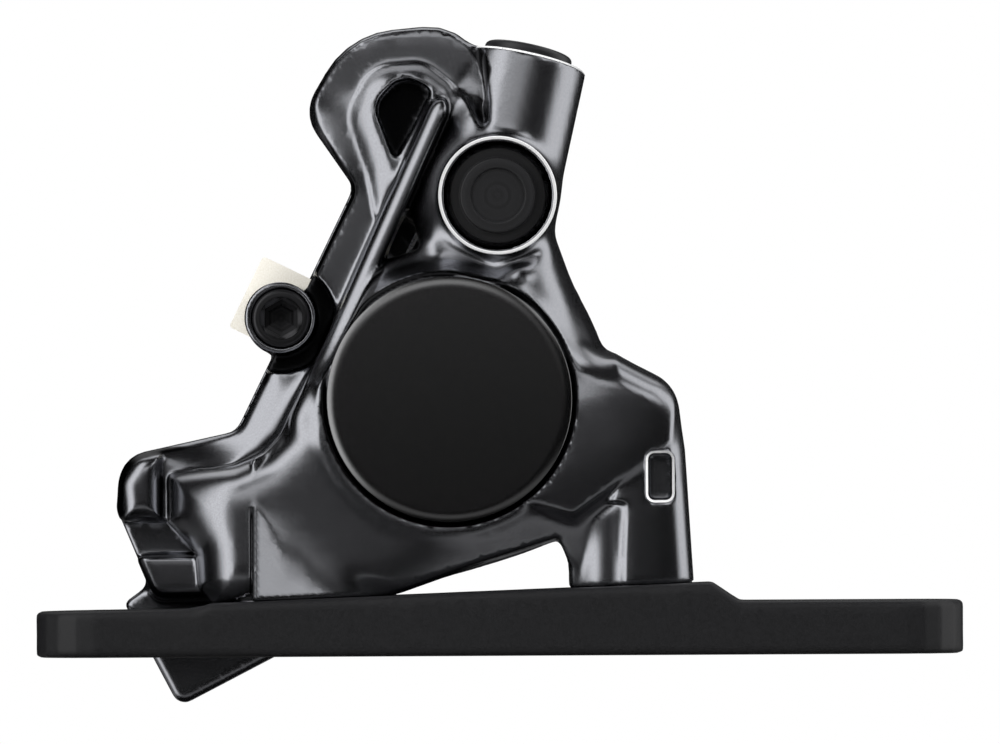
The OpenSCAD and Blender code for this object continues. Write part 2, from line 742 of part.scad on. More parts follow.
// Bores for the pistons, cap, seals, axle, nipple, hose, bolts and fluid
module body_bores() {
    cross_bar(0, 0, bore_r, -bore_depth, cap_seat_depth + 1);
    cross_bar(0, 0, spigot_r + slide_gap, bore_depth, cap_seat_depth + 1);
    cross_bar(0, 0, cap_r + cap_room, cap_seat_depth, cut_depth);
    cross_bar(0, 0, seal_r, seal_from, seal_from + seal_w + slide_gap);
    cross_bar(0, 0, seal_r, -seal_from - seal_w - slide_gap, -seal_from);
    cross_bar(-axle_x, 0, axle_thread_r + thread_gap, 0, axle_head_seat + 1);
    cross_bar(-axle_x, 0, axle_head_d / 2 + slide_gap, axle_head_seat, rib_depth + 1);
    cross_bar(-axle_x, 0, axle_d / 2 + slide_gap, -ear_end - 1, 0);
    y_bar(bleed_x, bleed_z, bleed_cup_r, bleed_floor_depth, bleed_face_depth + 1);
    y_bar(bleed_x, bleed_z, bleed_thread_d / 2 + thread_gap, hose_depth - 1.5, bleed_floor_depth + 1);
    hose_frame() translate([0, 0, way_start]) cylinder(r = passage_r, h = hose_boss_len - way_start);
    hose_frame() translate([0, 0, hose_boss_len - hose_thread_len])
        cylinder(d = hose_thread_d, h = hose_thread_len + 1);
    for (x = [left_bolt_x, right_bolt_x])
        translate([x, 0, 0]) cylinder(d = bolt_d + 2 * thread_gap, h = seat_h(x) + bolt_engage + 0.4);
    // Fluid ways to both cylinders, drilled across the bridge and plugged at the inboard end
    way(row_point(toward(bleed_at, piston_at, way_start), hose_depth),
        row_point(toward(piston_at, bleed_at, bore_r - 0.4), feed_depth));
    way(row_point(toward(bleed_at, cross_at, way_start), hose_depth), row_point(cross_at, cross_from));
    cross_bar(cross_x, cross_z, cross_r, -inboard_depth - 1, cross_from + cross_r);
    way(row_point(cross_at, -cross_feed),
        row_point(toward(piston_at, cross_at, bore_r - 0.4), -feed_depth));
    cross_bar(cross_x, cross_z, plug_r + slide_gap, -inboard_depth - 1, -inboard_depth + plug_len);
}

// Drilled way between two points
module way(p, q) {
    v = q - p;
    translate(p) rotate([0, acos(v.z / norm(v)), atan2(v.y, v.x)])
        cylinder(r = passage_r, h = norm(v), $fn = fine);
}

module caliper_body() {
    color([0.09, 0.09, 0.1]) difference() {
        union() {
            difference() {
                body_forging();
                body_pockets();
            }
            body_ears();
            slab(pocket_depth - 1, rib_depth) polygon(stroke(rib_path, rib_w));
        }
        body_slots();
        body_bores();
    }
}

// Pistons, cap and seals

// Turned part on the pistons' axis, from the rotor outwards; side is 1 outboard and -1 inboard
module on_bore(side, d0) {
    pads_frame() translate([0, -side * d0, 0]) rotate([side * 90, 0, 0]) children();
}

module piston(side) {
    color([0.75, 0.74, 0.7]) on_bore(side, pad_back) rotate_extrude()
        polygon([
            [piston_cup_d / 2, 0], [piston_d / 2, 0],
            [piston_d / 2, piston_len - piston_heel], [piston_d / 2 - 0.9, piston_len - piston_heel],
            [piston_d / 2 - 0.9, piston_len], [0, piston_len],
            [0, piston_cup_depth], [piston_cup_d / 2, piston_cup_depth]
        ]);
}

module outboard_piston() piston(1);

module inboard_piston() piston(-1);

module piston_seal(side) {
    color([0.03, 0.03, 0.03]) on_bore(side, seal_from)
        ring(piston_d / 2 + press_gap, seal_r - press_gap, seal_w);
}

module outboard_piston_seal() piston_seal(1);

module inboard_piston_seal() piston_seal(-1);

module bore_cap() {
    color([0.05, 0.05, 0.05]) on_bore(1, bore_depth) difference() {
        rotate_extrude() polygon([
            [0, 0], [spigot_r, 0], [spigot_r, cap_spigot], [cap_r, cap_spigot],
            [cap_r, cap_spigot + cap_flange_t - cap_edge], [cap_r - cap_edge, cap_spigot + cap_flange_t],
            [0, cap_spigot + cap_flange_t]
        ]);
        translate([0, 0, cap_groove_from])
            ring(spigot_r - oring_w, spigot_r + 1, oring_w + slide_gap);
    }
}

module bore_cap_seal() {
    color([0.03, 0.03, 0.03]) on_bore(1, bore_depth + cap_groove_from)
        ring(spigot_r - oring_w + press_gap, spigot_r + press_gap, oring_w);
}

// Pads and their spring

module pad_outline() {
    polygon(rounded([
        [-pad_h / 2, -pad_w / 2, pad_corner],
        [pad_h / 2, -pad_w / 2, pad_corner],
        [pad_h / 2, pad_w / 2, pad_corner],
        [-pad_h / 2, pad_w / 2, pad_corner],
        [-pad_h / 2, tab_shift + tab_w / 2, 1.5],
        [-axle_x - tab_past_axle, tab_shift + tab_w / 2, 0.3],
        [-axle_x - tab_past_axle, tab_shift - tab_w / 2, 0.3],
        [-pad_h / 2, tab_shift - tab_w / 2, 1.5]
    ]));
}

module pad_plate(d0) {
    color([0.8, 0.72, 0.6]) difference() {
        pads_slab(d0, d0 + pad_plate_t) pad_outline();
        cross_bar(-axle_x, 0, axle_d / 2 + pad_hole_gap, d0 - 1, d0 + pad_plate_t + 1);
    }
}

module pad_lining(d0) {
    x = pad_h / 2 - lining_border;
    z = pad_w / 2 - lining_side;
    color([0.3, 0.27, 0.24]) pads_slab(d0, d0 + lining_t)
        polygon(rounded([[-x, -z, 1.5], [x, -z, 1.5], [x, z, 1.5], [-x, z, 1.5]]));
}

module outboard_pad_plate() pad_plate(pad_face + lining_t);

module inboard_pad_plate() pad_plate(-pad_back);

module outboard_pad_lining() pad_lining(pad_face);

module inboard_pad_lining() pad_lining(-pad_face - lining_t);

// Bent sheet that pushes the two pads apart: a leaf at each end of each pad and a strap between
module pad_spring() {
    leaf_y = pad_face + lining_t;
    leaf_from = -pad_h / 2 - spring_loop;
    leaf_len = pad_h + spring_loop - lining_border;
    leaf_mid = leaf_from + leaf_len / 2;
    leaf_w = lining_side - 1.2;
    leaf_z = pad_w / 2 - leaf_w - 0.6;
    color([0.6, 0.6, 0.62]) pads_frame() {
        for (side = [-1, 1]) {
            for (end = [-1, 1])
                translate([leaf_mid, end * (leaf_y - spring_t / 2), side * (leaf_z + leaf_w / 2)])
                    cube([leaf_len, spring_t, leaf_w], center = true);
            translate([leaf_from + spring_t / 2, 0, side * (leaf_z + leaf_w / 2)])
                cube([spring_t, 2 * leaf_y, leaf_w], center = true);
        }
        translate([leaf_from + spring_t / 2, 0, 0])
            cube([spring_t, leaf_y, 2 * leaf_z + leaf_w], center = true);
    }
}

// Pad axle and its clip

module pad_axle() {
    groove = axle_head_seat + ear_end;
    len_in = groove + axle_tail;
    color([0.1, 0.1, 0.11]) pads_frame() translate([-axle_x, -axle_head_seat, 0]) rotate([-90, 0, 0])
        difference() {
            rotate_extrude() polygon([
                [0, -axle_head_h], [axle_head_d / 2 - 0.3, -axle_head_h],
                [axle_head_d / 2, 0.3 - axle_head_h], [axle_head_d / 2, 0],
                [axle_thread_r, 0], [axle_thread_r, axle_thread_len],
                [axle_d / 2, axle_thread_len], [axle_d / 2, groove], [axle_d / 2 - axle_groove, groove],
                [axle_d / 2 - axle_groove, groove + axle_clip_t + slide_gap],
                [axle_d / 2, groove + axle_clip_t + slide_gap], [axle_d / 2, len_in - 0.3],
                [axle_d / 2 - 0.3, len_in], [0, len_in]
            ]);
            translate([0, 0, -axle_head_h - 1]) hexagon(axle_key, axle_head_h + 0.6);
        }
}

module pad_axle_clip() {
    r_in = axle_d / 2 - axle_groove + press_gap;
    color([0.5, 0.5, 0.5]) pads_frame() translate([-axle_x, ear_end, 0]) rotate([-90, 0, 0])
        difference() {
            ring(r_in, axle_d / 2 + 1.1, axle_clip_t);
            translate([0, -r_in * 0.8, -1]) cube([axle_d + 2, r_in * 1.6, axle_clip_t + 2]);
        }
}

// Bleed nipple, its washer and its rubber cap

module on_bleed(d0) {
    translate([bleed_x, rotor_offset - d0, bleed_z]) rotate([90, 0, 0]) children();
}

module bleed_nipple() {
    hex_from = bleed_floor_depth + washer_t;
    color([0.8, 0.8, 0.8]) on_bleed(nipple_tip_depth) difference() {
        union() {
            cylinder(d = bleed_thread_d, h = hex_from - nipple_tip_depth + 0.5);
            translate([0, 0, hex_from - nipple_tip_depth]) hexagon(bleed_key, nipple_hex_h);
            cylinder(d = bleed_spout_d, h = nipple_end_depth - nipple_tip_depth);
        }
        translate([0, 0, 1.5]) cylinder(r = 0.6, h = 20);
        translate([0, -bleed_thread_d, 2]) rotate([-90, 0, 0]) cylinder(r = 0.5, h = bleed_thread_d);
    }
}

module bleed_nipple_seal() {
    color([0.03, 0.03, 0.03]) on_bleed(bleed_floor_depth)
        ring(bleed_thread_d / 2 + thread_gap + press_gap, bleed_key / 2 + 0.6, washer_t);
}

module bleed_cap() {
    from = bleed_floor_depth + washer_t + nipple_hex_h + 0.3;
    top = bleed_face_depth - 0.4;
    color([0.05, 0.05, 0.05]) on_bleed(from) rotate_extrude() polygon([
            [bleed_spout_d / 2 + press_gap, 0], [bleed_cap_r, 0], [bleed_cap_r, top - from - 0.8],
            [bleed_cap_r - 0.95, top - from - 0.8], [bleed_cap_r - 0.95, top - from - 0.15],
            [bleed_cap_r - 1.1, top - from],
            [bleed_cap_r - 1.9, top - from], [bleed_cap_r - 2, top - from - 0.25], [0, top - from - 0.25],
            [0, nipple_end_depth - from], [bleed_spout_d / 2 + press_gap, nipple_end_depth - from]
        ]);
}

// Dust plug of the hose port and the plug of the cross way

module hose_port_plug() {
    color([0.04, 0.04, 0.04]) hose_frame() translate([0, 0, hose_boss_len]) rotate_extrude()
        polygon([
            [0, plug_flange_t], [plug_flange_d / 2 - 0.5, plug_flange_t],
            [plug_flange_d / 2, plug_flange_t - 0.4], [plug_flange_d / 2, 0],
            [hose_thread_d / 2 - thread_gap, 0],
            [hose_thread_d / 2 - thread_gap, -hose_stem_len], [hose_thread_d / 2 - 1.2, -hose_stem_len],
            [hose_thread_d / 2 - 1.2, -0.6], [0, -0.6]
        ]);
}

module passage_plug() {
    color([0.5, 0.5, 0.5]) pads_frame() translate([cross_x, inboard_depth - plug_len, cross_z])
        rotate([-90, 0, 0]) difference() {
            cylinder(r = plug_r, h = plug_len - 0.3);
            translate([0, 0, plug_len - 1.6]) hexagon(plug_r, 2);
        }
}

// Mounting plate, its bolts and their clips

module mount_plate() {
    half = plate_length / 2;
    color([0.05, 0.05, 0.05]) difference() {
        intersection() {
            translate([0, plate_width / 2, 0]) rotate([90, 0, 0]) linear_extrude(plate_width)
                polygon(rounded([
                    [-half, 0, 0.4], [half, 0, 0.4], [half, plate_right_t, 0.5],
                    [seat_right_x + seat_ramp, plate_right_t, 1], [seat_right_x, seat_right_h, 1],
                    [seat_left_x, seat_left_h, 0], [seat_left_x - seat_step, plate_left_t + 0.2, 0.5],
                    [-half, plate_left_t, 0.5]
                ]));
            linear_extrude(seat_right_h + 2) polygon(rounded([
                [-half, -plate_width / 2, plate_corner], [half, -plate_width / 2, plate_corner],
                [half, plate_width / 2, plate_corner], [-half, plate_width / 2, plate_corner]
            ]));
        }
        for (x = [-1, 1] * fork_pitch / 2) translate([x, 0, -1]) cylinder(d = fork_hole_d, h = 12);
        translate([-fork_pitch / 2, 0, plate_left_t - fork_head_depth]) cylinder(d = fork_head_d, h = 6);
        translate([fork_pitch / 2, 0, plate_right_t - fork_head_depth]) cylinder(d = fork_head_d, h = 6);
        for (x = [left_bolt_x, right_bolt_x]) translate([x, 0, 0]) {
            translate([0, 0, -1]) cylinder(d = bolt_d + 2 * bolt_gap, h = 12);
            translate([0, 0, -1]) cylinder(r = bolt_sink_r, h = bolt_seat + 1);
            translate([0, 0, bolt_clip_from])
                cylinder(r = bolt_sink_r + 0.5, h = bolt_clip_wire + slide_gap);
        }
    }
}

module plate_bolts() {
    color([0.45, 0.45, 0.47]) for (x = [left_bolt_x, right_bolt_x]) translate([x, 0, 0]) difference() {
        union() {
            translate([0, 0, bolt_seat - bolt_head_h]) cylinder(d = bolt_head_d, h = bolt_head_h);
            translate([0, 0, bolt_seat - 0.5])
                cylinder(d = bolt_d, h = seat_h(x) + bolt_engage - bolt_seat + 0.5);
        }
        translate([0, 0, bolt_seat - bolt_head_h - 1]) hexagon(bolt_key, 2.4);
    }
}

module plate_bolt_clips() {
    color([0.6, 0.6, 0.6]) for (x = [left_bolt_x, right_bolt_x]) translate([x, 0, bolt_clip_from])
        difference() {
            ring(bolt_head_d / 2 - 0.8, bolt_sink_r + 0.4, bolt_clip_wire);
            translate([0, -1.5, -1]) cube([bolt_head_d, 3, bolt_clip_wire + 2]);
        }
}

caliper_body();
bore_cap();
bore_cap_seal();
outboard_piston();
inboard_piston();
outboard_piston_seal();
inboard_piston_seal();
outboard_pad_plate();
outboard_pad_lining();
inboard_pad_plate();
inboard_pad_lining();
pad_spring();
pad_axle();
pad_axle_clip();
bleed_nipple();
bleed_nipple_seal();
bleed_cap();
hose_port_plug();
passage_plug();
mount_plate();
plate_bolts();
plate_bolt_clips();
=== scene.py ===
# %% [markdown]
# # A disc brake caliper on its fork plate
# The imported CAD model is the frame. It says where every piece is and how it moves.
# Its solids could be shown as they are, but they are faceted and sharp, like a drawing.
# So each piece that is seen gets a finer twin here that rides on the same body,
# the pieces inside only get a finish, and a studio is built around them.
# Blender counts in metres. The sizes below are in millimetres,
# because that is how a drawing of such a part is read.

# %% Frame
import math

import bmesh
import bpy
import numpy as np
import openvdb
from mathutils import Matrix, Vector


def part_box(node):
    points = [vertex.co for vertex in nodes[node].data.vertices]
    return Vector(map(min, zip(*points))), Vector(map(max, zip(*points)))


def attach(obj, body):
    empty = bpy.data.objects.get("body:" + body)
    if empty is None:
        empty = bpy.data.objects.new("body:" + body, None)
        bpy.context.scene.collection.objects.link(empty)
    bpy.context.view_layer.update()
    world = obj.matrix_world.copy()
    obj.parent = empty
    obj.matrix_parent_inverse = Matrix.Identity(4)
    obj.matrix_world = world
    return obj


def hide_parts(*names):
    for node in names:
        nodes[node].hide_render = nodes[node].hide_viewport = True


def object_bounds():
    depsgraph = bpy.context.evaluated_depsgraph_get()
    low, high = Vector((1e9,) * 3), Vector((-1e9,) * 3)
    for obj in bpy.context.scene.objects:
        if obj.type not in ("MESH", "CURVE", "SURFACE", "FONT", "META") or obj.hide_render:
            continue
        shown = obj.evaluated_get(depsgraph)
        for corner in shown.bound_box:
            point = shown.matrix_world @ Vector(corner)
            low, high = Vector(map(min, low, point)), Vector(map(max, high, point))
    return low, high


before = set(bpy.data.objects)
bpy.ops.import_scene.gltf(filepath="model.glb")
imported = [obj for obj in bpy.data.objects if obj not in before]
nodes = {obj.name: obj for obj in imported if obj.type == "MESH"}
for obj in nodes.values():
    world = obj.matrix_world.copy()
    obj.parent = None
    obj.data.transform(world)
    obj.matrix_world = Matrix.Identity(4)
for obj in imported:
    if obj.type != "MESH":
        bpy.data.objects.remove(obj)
cad_low, cad_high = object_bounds()
MM = 0.001
print("CAD box, mm:", [round(x / MM, 1) for x in (*cad_low, *cad_high)])

# %% [markdown]
# ## Camera
# The picture is a side view from far off, so its edges stay parallel.
# An orthographic camera would do that too. A very long lens is closer to a real camera,
# and it still shows a little of the depth. Its distance follows from the width that the picture shows.

# %% Camera
SCALE = 10.98  # picture points to a millimetre
FRAME_W, FRAME_H = 1000, 744
ORIGIN_X, ORIGIN_Y = 498.5, 656  # where the frame's origin falls in the picture
LENS, SENSOR = 900, 36
SIGHT = 20  # how far the camera sees, in metres
TILT = math.radians(0.3)  # the real camera wasn't quite level

cam_data = bpy.data.cameras.new("camera")
cam_data.lens = LENS
cam_data.sensor_width = SENSOR
cam_data.clip_end = SIGHT
camera = bpy.data.objects.new("camera", cam_data)
bpy.context.scene.collection.objects.link(camera)
bpy.context.scene.camera = camera
far = LENS * FRAME_W / SCALE / SENSOR
plate_front = cad_low[1] / MM
aim_x = (FRAME_W / 2 - ORIGIN_X) / SCALE
aim_z = (ORIGIN_Y - FRAME_H / 2) / SCALE
camera.location = Vector((aim_x, plate_front - far, aim_z)) * MM
camera.rotation_euler = (math.pi / 2, TILT, 0)
print("camera stands", round(far), "mm away")

# %% [markdown]
# ## Solids as distances
# The body is a forging: ribs, bosses and walls that run into each other with soft fillets.
# Bevels can't do that on such a shape, and a subdivision cage would take a day.
# Here each form is written as a distance: below zero inside, above zero outside.
# Taking the lesser of two distances joins two forms, and easing that choice rolls a fillet
# between them. A grid of such numbers is then turned into a mesh.

# %% Distances
ROTOR_Y = 14.0  # the rotor's plane
LEAN = math.radians(26)  # how far the pads lean to the right
PISTON = (-4.5, 23.4)  # axis of both cylinders, x and z


class Field:
    """Sample points of one box, in mm.

    d is the depth from the rotor's plane, outboard positive. u and v run across and along the leaning pads.
    """

    def __init__(self, low, high, step):
        self.low, self.step = np.array(low, np.float32), step
        axes = [np.arange(a, b, step, dtype=np.float32) for a, b in zip(low, high)]
        self.x = axes[0][:, None, None]
        self.y = axes[1][None, :, None]
        self.z = axes[2][None, None, :]
        self.d = np.float32(ROTOR_Y) - self.y
        c, s = math.cos(LEAN), math.sin(LEAN)
        self.u = (self.x - PISTON[0]) * c - (self.z - PISTON[1]) * s
        self.v = (self.x - PISTON[0]) * s + (self.z - PISTON[1]) * c


def join(a, b, k):
    """Union of two distances with a fillet about k wide."""
    h = np.maximum(k - np.abs(a - b), 0) / k
    return np.minimum(a, b) - h * h * (k * 0.25)


def both(a, b, k):
    """Where two distances overlap, with the edge eased over k."""
    h = np.maximum(k - np.abs(a - b), 0) / k
    return np.maximum(a, b) + h * h * (k * 0.25)


def cut(a, b, k):
    """What is left of a without b, with the edge eased over k."""
    return both(a, -b, k)


def carried(s, along, low, high, r):
    """Outline distance s carried from low to high, with edges rounded to r."""
    w = s + r
    h = np.abs(along - (low + high) / 2) - (high - low) / 2 + r
    return np.minimum(np.maximum(w, h), 0) + np.hypot(np.maximum(w, 0), np.maximum(h, 0)) - r


def plane(f, point, normal):
    """Half space below a plane; point and normal are (x, depth, z)."""
    n = np.array(normal, float) / np.linalg.norm(normal)
    x, d, z = (a - p for a, p in zip((f.x, f.d, f.z), point))
    return (x * n[0] + d * n[1] + z * n[2]).astype(np.float32)


def ease(x, a, b):
    """Soft step from 0 at a to 1 at b; a may be the larger of the two."""
    t = np.clip((x - a) / (b - a), 0, 1)
    return t * t * (3 - 2 * t)


print("a fillet 1 mm wide fills its seam by", -join(0.0, 0.0, 1.0), "mm")

# %% [markdown]
# A forging die is drawn as outlines with rounded corners, and so is this body.
# Curve objects could hold them, but their points would have to be read back.
# So a corner is a point with a radius here, and the arc between its two edges is worked out.
# Which side of an outline a point lies on follows from how often a level line to it crosses the outline.

# %% Outline helpers
ARC_STEPS = 6
EDGE_SHARE = 0.49  # an arc takes less than half of each edge


def corner(a, b, c, r):
    """Points of the arc of radius r that rounds the corner at b, between a and c."""
    a, b, c = (np.array(p[:2], float) for p in (a, b, c))
    if r <= 0:
        return [b]
    u, w = (a - b) / np.linalg.norm(a - b), (c - b) / np.linalg.norm(c - b)
    half = math.acos(np.clip(u @ w, -1, 1)) / 2
    q = min(r, EDGE_SHARE * min(np.linalg.norm(a - b), np.linalg.norm(c - b)) * math.tan(half))
    middle = b + (u + w) / np.linalg.norm(u + w) * q / math.sin(half)
    first = b + u * q / math.tan(half) - middle
    last = b + w * q / math.tan(half) - middle
    start = math.atan2(first[1], first[0])
    turn = (math.atan2(last[1], last[0]) - start + 3 * math.pi) % (2 * math.pi) - math.pi
    angles = start + turn * np.linspace(0, 1, ARC_STEPS)
    return [middle + q * np.array([math.cos(t), math.sin(t)]) for t in angles]


def rounded(points):
    """Outline through corners given as (x, z, radius)."""
    made = []
    for i, p in enumerate(points):
        made += corner(points[i - 1], p, points[(i + 1) % len(points)], p[2])
    return np.array(made, np.float32)


def from_point(anchor, *corners):
    """Corners (x, z, radius) counted from an anchor."""
    return [(anchor[0] + x, anchor[1] + z, r) for x, z, r in corners]


def nearest(u, v, a, b):
    """Squared distance to the line from a to b."""
    e = b - a
    t = np.clip(((u - a[0]) * e[0] + (v - a[1]) * e[1]) / (e @ e), 0, 1)
    return (u - a[0] - t * e[0]) ** 2 + (v - a[1] - t * e[1]) ** 2


def outline(u, v, points):
    """Signed distance to a closed outline, negative inside."""
    best = np.full(np.broadcast(u, v).shape, 1e9, np.float32)
    inside = np.zeros(best.shape, bool)
    for a, b in zip(points, np.roll(points, -1, axis=0)):
        best = np.minimum(best, nearest(u, v, a, b))
        if a[1] != b[1]:
            crosses = (a[1] > v) != (b[1] > v)
            inside ^= crosses & (u < a[0] + (b[0] - a[0]) * (v - a[1]) / (b[1] - a[1]))
    return np.where(inside, -np.sqrt(best), np.sqrt(best)).astype(np.float32)


def on_pads(u, v):
    """x and z of a place given square to the leaning pads."""
    c, s = math.cos(LEAN), math.sin(LEAN)
    return (PISTON[0] + u * c + v * s, PISTON[1] - u * s + v * c)


print("a rounded square has", len(rounded([(0, 0, 1), (4, 0, 1), (4, 4, 1), (0, 4, 1)])), "points")

# %% [markdown]
# A mesh appears where the grid of distances passes through zero. It has tiny steps, and a Smooth or Remesh
# modifier would wash out the crisp edges with them. So the points stay, and only their normals are eased:
# they follow the slope of the distance, with the normals of the flat faces mixed in.
# The mesh also learns how deep each point lies in a recess, which its finish uses for painted shade.

# %% Mesh helpers
BAND, INNER_BAND = 3.0, 2.9  # distances past these don't shape the mesh
SLOPE_SHARE = 4  # weight of the distance's slope against the faces' normals
PROBES = (0.6, 1.2, 2.4)  # how far out a point feels for walls


def sampled(values, points):
    """Values of a grid at points given in grid steps."""
    top = np.array(values.shape) - 1
    base = np.clip(np.floor(points).astype(int), 0, top - 1)
    t = (points - base).astype(np.float32)
    total = np.zeros(len(points), np.float32)
    for i in (0, 1):
        for j in (0, 1):
            for k in (0, 1):
                weight = np.ones(len(points), np.float32)
                for axis, bit in enumerate((i, j, k)):
                    weight *= t[:, axis] if bit else 1 - t[:, axis]
                total += weight * values[base[:, 0] + i, base[:, 1] + j, base[:, 2] + k]
    return total


def face_pull(mesh):
    """Face normals gathered at each vertex, weighted by area, so that large flat faces stay flat."""
    pull = np.zeros((len(mesh.vertices), 3))
    for p in mesh.polygons:
        pull[p.vertices] += np.array(p.normal) * p.area
    return pull


def painted_shade(f, dist, points, normals):
    """Painted shade: 1 in a deep recess, 0 on open ground, from how fast the distance grows along the normal.
    """
    open_air = np.zeros(len(points), np.float32)
    for t in PROBES:
        open_air += np.clip(sampled(dist, points + normals * t / f.step) / t, 0, 1) / len(PROBES)
    return (1 - open_air).astype(np.float32)


def mesh_from(name, f, dist, thin=0.0, extra_shade=None):
    """Mesh of a distance grid, thinned where it is flat, with painted shade in its recesses; the last
    argument adds painted shade in further places.
    """
    grid = openvdb.FloatGrid(background=BAND)
    grid.copyFromArray(np.ascontiguousarray(np.clip(dist, -INNER_BAND, INNER_BAND), dtype=np.float32))
    points, triangles, quads = grid.convertToPolygons(isovalue=0.0, adaptivity=thin)
    normals = np.stack([sampled(g, points) for g in np.gradient(dist)], 1)
    normals /= np.maximum(np.linalg.norm(normals, axis=1, keepdims=True), 1e-6)
    mesh = bpy.data.meshes.new(name)
    faces = quads.tolist() + triangles.tolist()
    mesh.from_pydata(((points * f.step + f.low) * MM).tolist(), [], faces)
    mesh.update()
    mesh.shade_smooth()
    normals = normals * SLOPE_SHARE + face_pull(mesh) / (f.step * MM) ** 2
    normals /= np.linalg.norm(normals, axis=1, keepdims=True)
    mesh.normals_split_custom_set_from_vertices(normals.tolist())
    # painted shade: darker where a point lies deep in a recess, and darker again in the marked places
    dark = painted_shade(f, dist, points, normals)
    if extra_shade is not None:
        dark = np.maximum(dark, sampled(extra_shade, points))
    shade = mesh.attributes.new("painted_shade", "FLOAT", "POINT")
    shade.data.foreach_set("value", dark.astype(np.float32))
    piece = bpy.data.objects.new(name, mesh)
    bpy.context.scene.collection.objects.link(piece)
    count = sum(len(p.vertices) - 2 for p in mesh.polygons)
    print(name, count, "triangles")
    return piece


# %% [markdown]
# ## Forged body
# The outlines come first. Those of the bridge, its lobe and the inboard half lie square to the pads,
# which lean 26 degrees, so their corners are counted from the cylinders' axis along and across the pads.

# %% Outlines along the pads
RIB_X, STRIP_X, AXLE_X = 12.1, 16.2, 17.1  # rib, edge of the strip and pad axle, left of the cylinders
LOBE_X, LOBE_Z = 15.1, 21.4
CORE_R = 13.8

bridge_line = rounded([
    (-STRIP_X, 13.6, 1.6), (-STRIP_X, -11, 1.8), (-STRIP_X - 8.6, -17.8, 3),
    (-STRIP_X - 6.9, -22.4, 2.4), (-STRIP_X - 0.3, -28.2, 1.5), (-STRIP_X + 4.8, -25.6, 0),
    (-RIB_X + 1, -14, 0), (-RIB_X + 1, 14, 0), (-LOBE_X + 7.4, LOBE_Z - 3, 0),
    (-LOBE_X + 8.4, LOBE_Z + 3, 2), (-LOBE_X + 2.2, LOBE_Z + 10.8, 8.2),
    (-LOBE_X - 7.8, LOBE_Z + 4.7, 8.2), (-LOBE_X - 8.4, LOBE_Z - 3.7, 3.5),
])
block_line = rounded([
    (-18.8, -29.8, 0.6), (-10.1, -36.2, 1.2), (-4.3, -28.4, 0),
    (2.6, -18.4, 0), (-4, -12, 0), (-STRIP_X + 0.5, -24, 0),
])
inboard_line = rounded([
    (-STRIP_X, 13.4, 1.2), (-STRIP_X, -12, 1), (-STRIP_X + 2, -24, 0), (-5.2, -27, 0),
    (1.6, -17.6, 6), (13, -8.8, 3), (CORE_R, 4, 5), (7, 13.5, 5), (-4.5, 21, 3), (-LOBE_X, LOBE_Z, 0),
])
rim_line = rounded([
    (-12.2, 25.6, 1.0), (-15.5, 26.3, 2.5), (-19.4, 24.0, 3), (-19.2, 19.6, 3),
    (-15.3, 15.6, 2), (-13.2, 12.6, 0), (-11.5, 13.3, 0),
])
tear_line = rounded([(-13.6, 24.9, 0.8), (-16.9, 25.0, 2.2), (-18.0, 21.2, 2.0), (-13.9, 17.4, 0.4)])
nook_line = rounded([(-11.3, 14.7, 0.3), (-8.4, 11.3, 0.5), (-11.2, 8.6, 0.3)])
print("bridge outline:", len(bridge_line), "points")

# %% [markdown]
# The arm, the web and the feet follow the plate instead. Their corners are counted from what they hold:
# the bleed port, the cylinders and the two bolts.

# %% Outlines along the plate
BLEED = (0.0, 42.0)
LEFT_FOOT = (-22.0, 4.9)
RIGHT_FOOT = (12.0, 6.6)
BOLT_XS = (LEFT_FOOT[0], RIGHT_FOOT[0])

arm_line = rounded(
    from_point(BLEED, (-7, -4, 0), (-2, 4, 0), (5.3, 0.4, 0), (5.4, -3.2, 2))
    + from_point(PISTON, (13.8, 4.5, 1.5))
    + from_point(RIGHT_FOOT, (3.9, 17.6, 3.5), (3.4, 13, 0), (-5.35, 6.5, 0))
    + from_point(PISTON, (0, -6, 0))
)
web_line = rounded(
    from_point(LEFT_FOOT, (-8.4, 11.8, 0.5), (-8.4, 7.4, 0.5), (-5.8, 4.6, 0.5), (-5.5, 1.4, 0.6))
    + from_point(LEFT_FOOT, (-4, -0.4, 0.3), (8.2, -0.6, 0))
    + from_point(PISTON, (3, -14.8, 6))
    + from_point(RIGHT_FOOT, (-5.75, 4.4, 2.4), (-3.35, 2, 0), (4.4, 2, 0), (3.4, 13, 0))
    + from_point(PISTON, (0, 4, 0))
    + from_point(LEFT_FOOT, (5, 20.2, 1), (3.9, 18.4, 0.5), (2.1, 15.2, 3), (0.4, 13.6, 3))
    + from_point(LEFT_FOOT, (-2.2, 12.5, 3))
)
leg_line = rounded([
    (6.5, 3, 0), (6.5, 8, 0), (4, 14, 0), (2, 22.5, 0), (8.6, 24.2, 3), (10.6, 27.1, 0.5),
    (15.9, 24.2, 3.5), (16.9, 18.6, 4), (17.75, 5, 0), (17.75, 3, 0),
])
pillar_line = rounded([
    (6.5, 3, 0), (6.5, 8.6, 0.6), (7.6, 10.6, 1), (8.6, 12.1, 1), (11.6, 14.5, 0.2),
    (11.9, 14.5, 0), (11.9, 3, 0),
])
foot_side_line = np.array([
    (14.2, 40), (14.2, 19.4), (11.6, 17.0), (9.8, 14.5), (8.0, 12.0), (6.8, 9.7), (6.5, 8),
    (6.5, -5), (30, -5), (30, 40),
], np.float32)
window_line = rounded(
    from_point(RIGHT_FOOT, (1.6, 7.5, 0.6), (3.8, 7.5, 0.6), (3.8, 11.8, 0.6), (1.6, 11.8, 0.6))
)
lug_upper_line = rounded([
    (-30.9, 18.5, 0.3), (-33.2, 18.3, 2), (-34.8, 16, 2), (-34.5, 12.45, 0.6), (-30.9, 12.45, 0.3),
])
lug_lower_line = rounded([(-32.7, 9.1, 0.5), (-28.0, 9.2, 0.3), (-27.4, 6.0, 0.3), (-31.5, 5.8, 0.5)])
lug_notch_line = rounded([(-36, 12.4, 0), (-29, 12.4, 0), (-27, 9.1, 0), (-36, 9.1, 0)])
